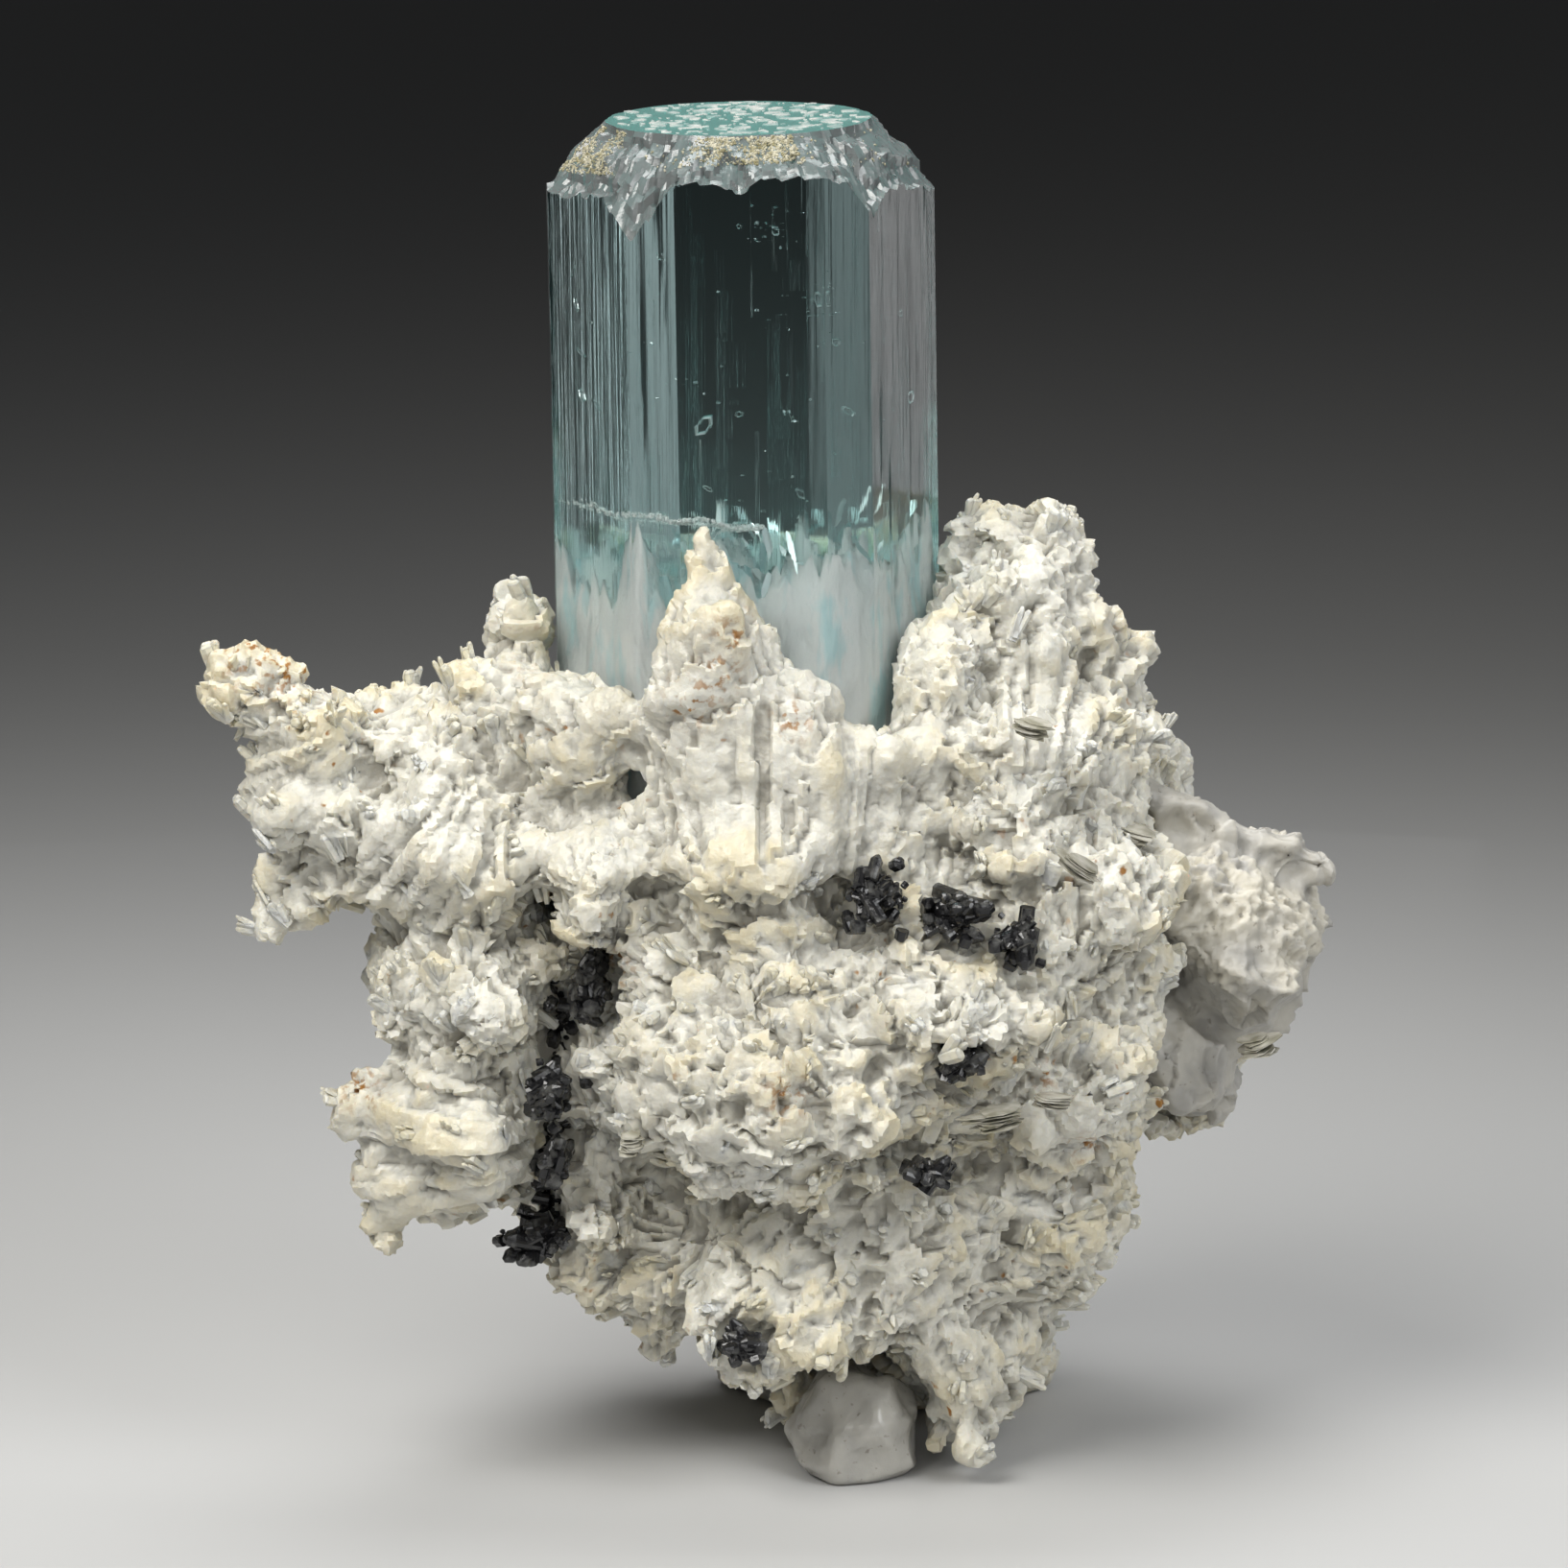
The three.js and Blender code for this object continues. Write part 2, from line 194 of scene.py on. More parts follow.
def side_of(angle):
    """Which of the twelve faces an angle falls on, and how far along that face, from 0 to 1."""
    for i, start in enumerate(corner_angles):
        end = corner_angles[(i + 1) % 12]
        span = (end - start) % (2 * math.pi)
        along = (angle - start) % (2 * math.pi)
        if along < span:
            return i, along / span
    return 0, 0.0


def shoulder_drop(angle):
    """How far the shoulder drops below the flat end at an angle."""
    i, along = side_of(angle)
    drop = SHOULDER_DROPS[i] + (SHOULDER_DROPS[(i + 1) % 12] - SHOULDER_DROPS[i]) * along
    return drop * MM


# The outline: twelve corners, each side divided into striae.
bm = bmesh.new()
bmesh.ops.create_circle(bm, cap_ends=False, radius=outer_radius, segments=12)
bm.verts.ensure_lookup_table()
for corner, angle in zip(bm.verts, corner_angles):
    corner.co = Vector((outer_radius * math.cos(angle), outer_radius * math.sin(angle), 0))
for is_broad, width in ((True, BROAD_FACE), (False, NARROW_FACE)):
    sides = [e for e in bm.edges if len(e.verts) == 2 and (e.calc_length() > 0.6 * BROAD_FACE) == is_broad]
    sides = [e for e in sides if e.calc_length() > 2 * MM]
    bmesh.ops.subdivide_edges(bm, edges=sides, cuts=round(width / STRIA_PITCH) - 1)

# The side faces, ring over ring, then the broken shoulder and the flat end.
BODY_RINGS = 15
SHOULDER_ROWS = 13
CHIP_LAYERS = ((3.2, 0.95), (1.5, 0.45))  # mm: how wide the flat-sided chips are, and how deep
NOTCHES = ((-126, 13, 3.9), (-49, 10, 2.2), (-92, 7, 0.7))  # degrees round, degrees wide, mm down
base = [v.co.copy() for v in bm.verts]
angles = [math.atan2(co.y, co.x) for co in base]
stria_random = random.Random(7)
FINER_FACE = (-174, -128)  # degrees: the side face with the shallowest striae
FINER_SHARE = 0.4
strong = [[stria_random.gauss(0, 1) - 2.4 * (stria_random.random() < 0.10) for _ in base] for _ in range(5)]


def striated(index, height_share):
    """A point of the outline, moved in or out by the stria that passes through it."""
    co, angle = base[index], angles[index]
    _, along = side_of(angle)
    edge_fade = min(1.0, 12 * along, 12 * (1 - along))
    place = height_share * (len(strong) - 1.001)
    step = int(place)
    mix = place - step
    depth = strong[step][index] * (1 - mix) + strong[step + 1][index] * mix
    patch = 0.5 + noise.noise(Vector((math.cos(angle) * 2.2, math.sin(angle) * 2.2, height_share * 2.5)))
    if FINER_FACE[0] < math.degrees(angle) < FINER_FACE[1]:
        depth *= FINER_SHARE
    out = Vector((co.x, co.y, 0)).normalized()
    return co + out * depth * STRIA_DEPTH * edge_fade * max(0.15, 1.4 * patch)


def chip_depth(spot):
    """How deep the chips have bitten at this point of the shoulder. Each leaves a flat, tilted break."""
    depth = 0
    for size, deep in CHIP_LAYERS:
        place = spot / (size * MM)
        middle = noise.voronoi(place)[1][0]
        tilt = noise.noise_vector(middle * 7.3)
        depth += deep * MM * max(0, 0.45 + 0.6 * tilt.x + 1.5 * tilt.dot(place - middle))
    return depth


def edge_height(index):
    """Where a side face ends and the broken shoulder starts."""
    angle = angles[index]
    spot = Vector((outer_radius * math.cos(angle), outer_radius * math.sin(angle), CRYSTAL_LENGTH))
    dip = 1.1 * chip_depth(spot)
    for degrees, wide, deep in NOTCHES:
        off = abs((math.degrees(angle) - degrees + 180) % 360 - 180)
        dip += deep * MM * max(0, 1 - off / wide)
    return CRYSTAL_LENGTH - shoulder_drop(angle) - dip


def shoulder_point(index, row):
    """A point of the shoulder: a rounded bevel from side face to flat end, with the chips taken out."""
    share = row / SHOULDER_ROWS
    inwards = 0.5 * (1 - math.cos(share * math.pi / 2)) + 0.5 * share
    up = 0.45 * math.sin(share * math.pi / 2) + 0.55 * share
    edge = striated(index, 1.0)
    top = edge_height(index)
    out = edge.normalized()
    spot = edge.lerp(out * TOP_RADIUS, inwards)
    spot.z = top + (CRYSTAL_LENGTH - top) * up
    strength = min(1, 0.25 + 7 * share * (1 - share))
    bite = chip_depth(spot) * strength
    if row == SHOULDER_ROWS:
        return spot - out * bite
    return spot - (0.75 * out + Vector((0, 0, 0.65))) * bite


loop_edges = list(bm.edges)
loop_verts = list(bm.verts)
rings = [loop_verts]
for _ in range(BODY_RINGS + SHOULDER_ROWS):
    made = bmesh.ops.extrude_edge_only(bm, edges=loop_edges)["geom"]
    new_verts = set(g for g in made if isinstance(g, bmesh.types.BMVert))
    loop_edges = [g for g in made if isinstance(g, bmesh.types.BMEdge) and new_verts.issuperset(g.verts)]
    order = {tuple(round(c, 7) for c in v.co.xy): v for v in new_verts}
    rings.append([order[tuple(round(c, 7) for c in v.co.xy)] for v in loop_verts])
flat_end = bmesh.ops.contextual_create(bm, geom=loop_edges)["faces"]
first_ring = set(loop_verts)
bmesh.ops.contextual_create(bm, geom=[e for e in bm.edges if first_ring.issuperset(e.verts)])
for level, ring in enumerate(rings):
    for index, vert in enumerate(ring):
        if level <= BODY_RINGS:
            vert.co = striated(index, level / BODY_RINGS)
            vert.co.z = edge_height(index) * level / BODY_RINGS
        else:
            vert.co = shoulder_point(index, level - BODY_RINGS)
broken = set(v for ring in rings[BODY_RINGS:] for v in ring)
for face in bm.faces:
    face.material_index = int(broken.issuperset(face.verts))
for face in flat_end:
    face.material_index = 2
bmesh.ops.recalc_face_normals(bm, faces=bm.faces)
bmesh.ops.transform(bm, matrix=crystal_place, verts=bm.verts)

CRYSTAL_IOR = 1.577
ABSORPTION = (0.0, 0.93, 0.915)  # what a long path through the crystal keeps of each colour
ABSORPTION_DENSITY = 11.0


def detail_noise(tree, scale, detail=3, stretch=(1, 1, 1), offset=(0, 0, 0)):
    """A noise field in the piece's own coordinates."""
    coords = tree.nodes.new("ShaderNodeTexCoord")
    place = tree.nodes.new("ShaderNodeMapping")
    place.inputs["Location"].default_value = offset
    place.inputs["Scale"].default_value = stretch
    field = tree.nodes.new("ShaderNodeTexNoise")
    field.inputs["Scale"].default_value = scale
    field.inputs["Detail"].default_value = detail
    tree.links.new(coords.outputs["Object"], place.inputs["Vector"])
    tree.links.new(place.outputs["Vector"], field.inputs["Vector"])
    return field.outputs["Fac"]


def ramp_of(tree, value, start, end):
    """0 at start rising to 1 at end, and level beyond."""
    ramp = tree.nodes.new("ShaderNodeMapRange")
    ramp.inputs["From Min"].default_value = start
    ramp.inputs["From Max"].default_value = end
    tree.links.new(value, ramp.inputs["Value"])
    return ramp.outputs["Result"]


def mix_colors(tree, factor, first, second):
    """A node that mixes two colours, each a colour or a socket."""
    mix = tree.nodes.new("ShaderNodeMix")
    mix.data_type = "RGBA"
    for socket_name, value in (("Factor", factor), ("A", first), ("B", second)):
        socket = mix.inputs[socket_name]
        if isinstance(value, bpy.types.NodeSocket):
            tree.links.new(value, socket)
        else:
            socket.default_value = (*value, 1) if isinstance(value, tuple) else value
    return mix.outputs["Result"]


def add_bump(tree, shader, height, distance, strength):
    """Fine relief too small to model."""
    bump = tree.nodes.new("ShaderNodeBump")
    bump.inputs["Distance"].default_value = distance
    bump.inputs["Strength"].default_value = strength
    tree.links.new(height, bump.inputs["Height"])
    tree.links.new(bump.outputs["Normal"], shader.inputs["Normal"])


def clear_crystal(name, color, roughness, clear, relief, stretch):
    """Beryl, tinted more the longer the path through it. Clear is how much light enters."""
    material, shader, tree = plain_material(name, color, roughness)
    shader.inputs["Transmission Weight"].default_value = clear
    shader.inputs["IOR"].default_value = CRYSTAL_IOR
    tint = tree.nodes.new("ShaderNodeVolumeAbsorption")
    tint.inputs["Color"].default_value = (*ABSORPTION, 1)
    tint.inputs["Density"].default_value = ABSORPTION_DENSITY
    tree.links.new(tint.outputs["Volume"], tree.nodes["Material Output"].inputs["Volume"])
    add_bump(tree, shader, detail_noise(tree, 1, 4, stretch), relief, 0.5)
    return material


prism_surface = clear_crystal("beryl_prism_face", (1, 1, 1), 0.012, 1.0, 0.00007, (3300, 3300, 22))
fracture_surface = clear_crystal("beryl_fracture", (0.20, 0.21, 0.21), 0.20, 0.38, 0.00012, (900, 900, 2600))
end_surface = clear_crystal("beryl_etched_end", (0.17, 0.36, 0.33), 0.30, 0.40, 0.00005, (900, 900, 900))
crystal = finished_object("crystal", bm, prism_surface, fracture_surface, end_surface)

# A few larger chips where the shoulder was knocked, cut with uneven facets.
LARGE_CHIPS = ((-128, 0.80, 4.2, 3.0, 1.3), (-112, 0.60, 2.8, 2.4, 0.8), (-48, 0.95, 2.4, 3.0, 1.0),
               (-66, 0.55, 3.6, 2.4, 0.7), (20, 0.6, 3.4, 2.6, 0.8), (110, 0.7, 4.0, 2.8, 1.0))
chip_random = random.Random(21)
cutters = bmesh.new()
for degrees, height_share, wide, tall, bite in LARGE_CHIPS:
    angle = math.radians(degrees)
    reach = TOP_RADIUS + (outer_radius - TOP_RADIUS) * min(1, height_share * 1.15)
    ball = bmesh.ops.create_icosphere(cutters, subdivisions=2, radius=1.0)["verts"]
    for vert in ball:
        vert.co *= chip_random.uniform(0.95, 1.05)
    height = CRYSTAL_LENGTH - height_share * shoulder_drop(angle)
    spot = Matrix.Rotation(angle, 4, "Z") @ Matrix.Translation((reach, 0, height))
    push = Matrix.Rotation(math.radians(-38), 4, "Y") @ Matrix.Translation(((wide - bite) * MM, 0, 0))
    size = Matrix.Diagonal((wide * MM, wide * MM, tall * MM, 1))
    bmesh.ops.transform(cutters, matrix=crystal_place @ spot @ push @ size, verts=ball)
cutter = finished_object("chip_cutters", cutters, prism_surface, fracture_surface)
cutter.data.polygons.foreach_set("material_index", [1] * len(cutter.data.polygons))


def applied(made, kind, **settings):
    """The object's mesh with one modifier applied. The object is removed."""
    modifier = made.modifiers.new(kind.lower(), kind)
    for key, value in settings.items():
        setattr(modifier, key, value)
    bpy.context.view_layer.update()
    mesh = bpy.data.meshes.new_from_object(made.evaluated_get(bpy.context.evaluated_depsgraph_get()))
    bpy.data.objects.remove(made)
    return mesh


chipped = applied(crystal, "BOOLEAN", operation="DIFFERENCE", solver="EXACT", use_self=True, object=cutter)
bpy.data.objects.remove(cutter)
chipped.set_sharp_from_angle(angle=math.radians(16))
crystal = object_of("crystal", chipped)
crystal_surface = BVHTree.FromObject(crystal, bpy.context.evaluated_depsgraph_get())
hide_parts("aquamarine_crystal")
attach(crystal, "root")

# ---- Growth plates on the crystal's flat end ----
# Thin raised plates of beryl, each a small step of the last growth. They are frosted, and lie parallel to the
# crystal's own faces.
PLATES = 300
PLATE_THICK = (0.03, 0.10)


def form_of(form):
    """The points and faces of a small bmesh, ready to be copied many times. The bmesh is freed."""
    form.verts.index_update()
    points = np.array([v.co for v in form.verts])
    faces = [[v.index for v in f.verts] for f in form.faces]
    form.free()
    return points, faces


def joined_copies(form, placements):
    """One mesh made of a copy of the form for each placement matrix."""
    points, faces = form
    corners = [points @ np.array(m.to_3x3()).T + np.array(m.translation) for m in placements]
    rings = [[i + k * len(points) for i in face] for k in range(len(placements)) for face in faces]
    mesh = bpy.data.meshes.new("copies")
    mesh.from_pydata(np.concatenate(corners).tolist(), [], rings)
    return mesh


def two_tone(name, first, second, scale, roughness, relief):
    """A rough mineral surface of two mixed tones with a fine grain, relief in metres."""
    material, shader, tree = plain_material(name, first, roughness)
    tone = ramp_of(tree, detail_noise(tree, scale), 0.38, 0.62)
    tree.links.new(mix_colors(tree, tone, first, second), shader.inputs["Base Color"])
    add_bump(tree, shader, detail_noise(tree, scale * 5), relief, 0.6)
    return material


def place_on(spot, turn, size):
    """A placement matrix from a spot, a turn and the sizes along the three axes."""
    return Matrix.Translation(spot) @ turn.to_4x4() @ Matrix.Diagonal((*size, 1))


plate_form = bmesh.new()
bmesh.ops.create_cube(plate_form, size=1)
upright = [e for e in plate_form.edges if abs(e.verts[0].co.z - e.verts[1].co.z) > 0.5]
bmesh.ops.bevel(plate_form, geom=upright, offset=0.16, affect="EDGES", segments=1, profile=0.5, material=-1)
plate_form = form_of(plate_form)
plate_random = random.Random(3)
plates = []
for _ in range(PLATES):
    radius = (TOP_RADIUS - 0.8 * MM) * math.sqrt(plate_random.random())
    around = plate_random.uniform(0, 2 * math.pi)
    spot = Vector((radius * math.cos(around), radius * math.sin(around), CRYSTAL_LENGTH))
    turn = Matrix.Rotation(math.radians(60 * plate_random.randint(0, 2) + plate_random.gauss(0, 5)), 3, "Z")
    wide = plate_random.uniform(0.3, 1.0) ** 2 * 1.5 * MM
    size = (wide, wide * plate_random.uniform(0.35, 0.9), plate_random.uniform(*PLATE_THICK) * 2 * MM)
    plates.append(crystal_place @ place_on(spot, turn, size))
frosted = two_tone("beryl_frosted", (0.26, 0.38, 0.36), (0.62, 0.62, 0.59), 700, 0.30, 0.00003)
growth_plates = object_of("growth_plates", joined_copies(plate_form, plates), frosted)
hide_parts("aquamarine_crystal")
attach(growth_plates, "root")

# ---- Crust on the crystal's shoulder ----
# A thin crust of khaki grains, iron-stained clay and tiny feldspar. It is caught in the chips on the left and
# the front of the shoulder.
# Degrees from, degrees to, and how many grains are tried there.
CRUST_ARCS = ((-178, -134, 1900), (-134, -112, 120), (-112, -70, 1700), (-70, 180, 260))

grain_form = bmesh.new()
bmesh.ops.create_icosphere(grain_form, subdivisions=1, radius=0.5)
grain_random = random.Random(11)
for vert in grain_form.verts:
    vert.co *= grain_random.uniform(0.7, 1.25)
grain_form = form_of(grain_form)


def random_turn(source):
    """A rotation to anywhere."""
    spin = Matrix.Rotation(source.uniform(0, 6.28), 3, "Z")
    tilt = Matrix.Rotation(math.acos(source.uniform(-1, 1)), 3, "X")
    return spin @ tilt @ Matrix.Rotation(source.uniform(0, 6.28), 3, "Z")


grains = []
for start, end, count in CRUST_ARCS:
    for _ in range(count):
        angle = math.radians(grain_random.uniform(start, end))
        share = grain_random.uniform(0.06, 0.80)
        height = CRYSTAL_LENGTH - share * shoulder_drop(angle)
        patch = noise.noise(Vector((math.cos(angle) * 4, math.sin(angle) * 4, height * 300)))
        if patch + grain_random.uniform(-0.25, 0.25) < 0:
            continue
        outside = Vector((0.03 * math.cos(angle), 0.03 * math.sin(angle), height))
        aim = (crystal_place.to_3x3() @ Vector((-outside.x, -outside.y, 0))).normalized()
        hit = crystal_surface.ray_cast(crystal_place @ outside, aim)[0]
        if hit:
            size = grain_random.uniform(0.10, 0.40) * MM
            grains.append(place_on(hit, random_turn(grain_random), (size, size * 0.8, size * 0.6)))
crust_material = two_tone("khaki_crust", (0.25, 0.225, 0.12), (0.50, 0.475, 0.37), 1900, 0.8, 0.00006)
crust = object_of("shoulder_crust", joined_copies(grain_form, grains), crust_material)
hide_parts("aquamarine_crystal")
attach(crust, "root")

# ---- Inside the crystal ----
# What the crystal sealed in as it grew: fine tubes along its length, a healed crack marked by small drops,
# glassy flakes, six-sided cavities, and white clouds and cracks that thicken towards the root.
TUBES, CRACK_DROPS, FLAKES = 110, 620, 90
CLOUD_SPECKS, CRACKS, FLAKES_IN_A_CRACK = 3600, 30, 16
inside_random = random.Random(17)
silvery, silvery_shader, _ = plain_material("sealed_cavity", (0.52, 0.62, 0.62), 0.28)
silvery_shader.inputs["Metallic"].default_value = 0.55
milky = two_tone("sealed_milk", (0.80, 0.86, 0.84), (0.90, 0.92, 0.90), 700, 0.5, 0.00002)


def inside_spot(low_z, high_z, reach=0.86):
    """A random spot in the crystal between two heights above its root, mm."""
    radius = inradius * reach * math.sqrt(inside_random.random())
    around = inside_random.uniform(0, 2 * math.pi)
    height = inside_random.uniform(low_z, high_z) * MM
    return Vector((radius * math.cos(around), radius * math.sin(around), height))


inradius_narrow = outer_radius * math.cos(math.pi / 6 - half_broad)
crystal_walls = [(-math.pi / 2 + k * math.pi / 6, inradius_narrow if k % 2 else inradius) for k in range(12)]


def room_to_wall(spot):
    """How far a spot is inside the nearest side face of the crystal."""
    return min(offset - spot.x * math.cos(a) - spot.y * math.sin(a) for a, offset in crystal_walls)


def seal_in(name, form, placements, material):
    """Makes one piece inside the crystal. Placements are in the crystal's own directions."""
    kept = []
    for placement in placements:
        reach = 0.5 * (placement.to_3x3() @ Vector((1, 1, 0))).xy.length
        if room_to_wall(placement.translation) > 0.4 * MM + reach:
            kept.append(crystal_place @ placement)
    made = object_of(name, joined_copies(form, kept), material)
    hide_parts("aquamarine_crystal")
    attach(made, "root")


tube_form = bmesh.new()
bmesh.ops.create_cone(tube_form, cap_ends=True, segments=6, radius1=0.5, radius2=0.35, depth=1)
tube_form = form_of(tube_form)
tubes = []
for _ in range(TUBES):
    spot = inside_spot(26, 62)
    wide = inside_random.uniform(0.03, 0.09) * MM
    long = min(inside_random.uniform(0.12, 1) ** 2 * 20 * MM, 1.6 * (64 * MM - spot.z) + 2 * MM)
    tubes.append(place_on(spot, Matrix.Rotation(inside_random.gauss(0, 0.006), 3, "X"), (wide, wide, long)))
seal_in("sealed_tubes", tube_form, tubes, silvery)

# The healed crack: white drops on a wavy sheet, crowded along its front edge.
drops = []
crack_left, crack_right = (to_crystal @ (Vector(end) * MM) for end in ((-24.6, 0, 83.8), (-8.6, 0, 82.2)))
for _ in range(CRACK_DROPS):
    share = inside_random.random()
    back = inside_random.random() ** 2.2
    spot = crack_left.lerp(crack_right, share)
    spot.y = -inradius * (0.93 - 0.9 * back) * (0.62 + 0.38 * min(1, 2.2 * share))
    wave = noise.noise(Vector((share * 5, back * 3, 0)))
    spot.z += (0.7 * wave - 1.6 * back + inside_random.gauss(0, 0.07)) * MM
    size = inside_random.uniform(0.10, 0.42) * (1.2 - 0.7 * back) * MM
    drops.append(place_on(spot, random_turn(inside_random), (size * 1.5, size, size)))
seal_in("healed_crack", grain_form, drops, milky)

SWARMS = (  # mm: x and height of each swarm of drops, how many, and how far they spread
    (-3.9, 100.6, 16, 1.9), (-7.4, 107, 26, 1.3), (-13.4, 93, 10, 1.6),
    (-20, 96, 24, 3.0), (2.6, 92, 22, 3.2), (-6, 88, 18, 3.5),
)
drops = []
for x, z, count, spread in SWARMS:
    centre = to_crystal @ (Vector((x, 0, z)) * MM)
    for _ in range(count):
        along, deep = inside_random.gauss(0, spread), inside_random.uniform(-4, 4)
        offset = Vector((along, deep, inside_random.gauss(0, spread)))
        size = inside_random.uniform(0.08, 0.30) * MM
        drops.append(place_on(centre + offset * MM, random_turn(inside_random), (size, size, size)))
seal_in("sealed_drops", grain_form, drops, silvery)


def plate_with_uneven_edge(radius, source, least, most):
    """A plate one unit thick, its nine corners at random shares of the radius."""
    form = bmesh.new()
    bmesh.ops.create_circle(form, cap_ends=True, radius=radius, segments=9)
    for vert in form.verts:
        vert.co *= source.uniform(least, most)
    made = bmesh.ops.extrude_face_region(form, geom=form.faces[:])["geom"]
    bmesh.ops.translate(form, verts=[g for g in made if isinstance(g, bmesh.types.BMVert)], vec=(0, 0, 1))
    bmesh.ops.recalc_face_normals(form, faces=form.faces)
    return form_of(form)


flake_form = plate_with_uneven_edge(0.5, inside_random, 0.6, 1.15)
flakes = []
for _ in range(FLAKES):
    spot = to_crystal @ (Vector((inside_random.uniform(-13, 6), 0, 79.5 + inside_random.gauss(0, 1.7))) * MM)
    spot.y = inside_random.uniform(-0.84, 0.1) * inradius
    turn = Matrix.Rotation(inside_random.uniform(-0.9, 0.9), 3, "Y")
    turn @= Matrix.Rotation(inside_random.gauss(1.3, 0.4), 3, "X")
    long = inside_random.uniform(0.25, 1.0) ** 2 * 4.2 * MM
    flakes.append(place_on(spot, turn, (long * inside_random.uniform(0.10, 0.30), long, 0.04 * MM)))
seal_in("sealed_flakes", flake_form, flakes, silvery)

CAVITIES = (  # mm: x and height of each sealed cavity, and how wide and tall it is
    (-13.3, 90.5, 2.2, 1.2), (-10.4, 91.4, 0.7, 0.6), (-7.4, 106.6, 0.7, 0.9), (-10.4, 107.0, 0.5, 0.5),
    (-3.9, 100.9, 0.8, 1.5), (-3.1, 97.3, 0.7, 0.8), (-23.3, 102.3, 1.5, 0.4), (-22.9, 99.5, 0.6, 1.3),
    (-22.3, 95.5, 0.5, 1.5), (-24.0, 91.5, 1.0, 1.5), (-22.2, 91.9, 0.9, 1.3), (-20.0, 91.2, 0.5, 1.5),
    (-6.1, 91.2, 0.4, 1.5), (-2.0, 91.5, 0.6, 1.6), (3.3, 91.5, 1.0, 1.2), (-13.0, 85.2, 0.4, 1.0),
    (-5.3, 84.7, 0.4, 1.2), (-16.2, 104.5, 0.4, 0.9), (1.6, 98.6, 0.5, 0.8),
)
cavity_form = bmesh.new()
rim = bmesh.ops.create_circle(cavity_form, cap_ends=False, radius=0.10, segments=5)["verts"]
rim_place = Matrix.Translation((0.42, 0, 0)) @ Matrix.Rotation(math.pi / 2, 4, "X")
bmesh.ops.transform(cavity_form, matrix=rim_place, verts=rim)
bmesh.ops.spin(cavity_form, geom=cavity_form.verts[:] + cavity_form.edges[:], axis=(0, 0, 1), cent=(0, 0, 0),
               angle=2 * math.pi, steps=6, use_merge=True)
bmesh.ops.recalc_face_normals(cavity_form, faces=cavity_form.faces)
cavities = []
for x, z, wide, tall in CAVITIES:
    spot = to_crystal @ (Vector((x, 0, z)) * MM)
    spot.y = -0.72 * inradius if abs(spot.x) < 9 * MM else -0.30 * inradius
    turn = Matrix.Rotation(inside_random.uniform(0.9, 1.3), 3, "X")
    turn @= Matrix.Rotation(inside_random.uniform(0, 1), 3, "Z")
    cavities.append(place_on(spot, turn, (wide * MM, tall * MM, min(wide, tall) * MM)))
seal_in("sealed_cavities", form_of(cavity_form), cavities, silvery)

# White clouds and cracks near the root: specks that thicken downwards, and flakes that follow wavy sheets.
specks = []
while len(specks) < CLOUD_SPECKS:
    spot = inside_spot(0, 36, 0.96)
    if inside_random.random() < (1 - spot.z / (38 * MM)) ** 0.8:
        size = inside_random.uniform(0.06, 0.20) * MM
        specks.append(place_on(spot, random_turn(inside_random), (size, size, size)))
speck_form = bmesh.new()
bmesh.ops.create_cone(speck_form, cap_ends=True, segments=4, radius1=0.5, radius2=0.2, depth=0.7)
seal_in("sealed_cloud", form_of(speck_form), specks, milky)

cracks = []
for _ in range(CRACKS):
    centre = inside_spot(2, 34, 0.8)
    lean_turn = Matrix.Rotation(inside_random.uniform(0, 6.28), 3, "Z")
    lean_turn @= Matrix.Rotation(inside_random.gauss(1.25, 0.35), 3, "X")
    for _ in range(FLAKES_IN_A_CRACK):
        offset = Vector((inside_random.gauss(0, 1.5), inside_random.gauss(0, 2.2), 0))
        offset.z = 0.8 * noise.noise(offset)
        turn = lean_turn @ Matrix.Rotation(inside_random.gauss(0, 0.25), 3, "X")
        turn @= Matrix.Rotation(inside_random.uniform(0, 6.28), 3, "Z")
        wide = inside_random.uniform(0.5, 1.9) * MM
        spot = centre + lean_turn @ offset * MM
        if math.hypot(spot.x, spot.y) < inradius * 0.93 and spot.z > 0.5 * MM:
            cracks.append(place_on(spot, turn, (wide, wide * inside_random.uniform(0.4, 0.9), 0.03 * MM)))
seal_in("sealed_cracks", flake_form, cracks, milky)

# The milky root: the lower third is clouded almost to its faces, and the cloud ends in ragged peaks.
CLOUD_TOP, CLOUD_PEAKS = 30.5, 7.5  # mm above the root, and how far the peaks rise and fall
CLOUD_FALL = 0.16  # how steeply it falls away
CLOUD_ROWS, CLOUD_LIDS, CLOUD_SIDES = 60, 22, 150


def cloud_height(x, y):
    """How high the cloud reaches at a place across the crystal. It falls away towards the back."""
    spot = Vector((x, y, 0)) / MM
    peaks = 0.9 * noise.noise(spot / 4.5) + 0.8 * abs(noise.noise(spot / 1.9))
    peaks += 0.35 * noise.noise(spot / 0.8)
    return (CLOUD_TOP + CLOUD_PEAKS * peaks) * MM - CLOUD_FALL * (y + inradius)


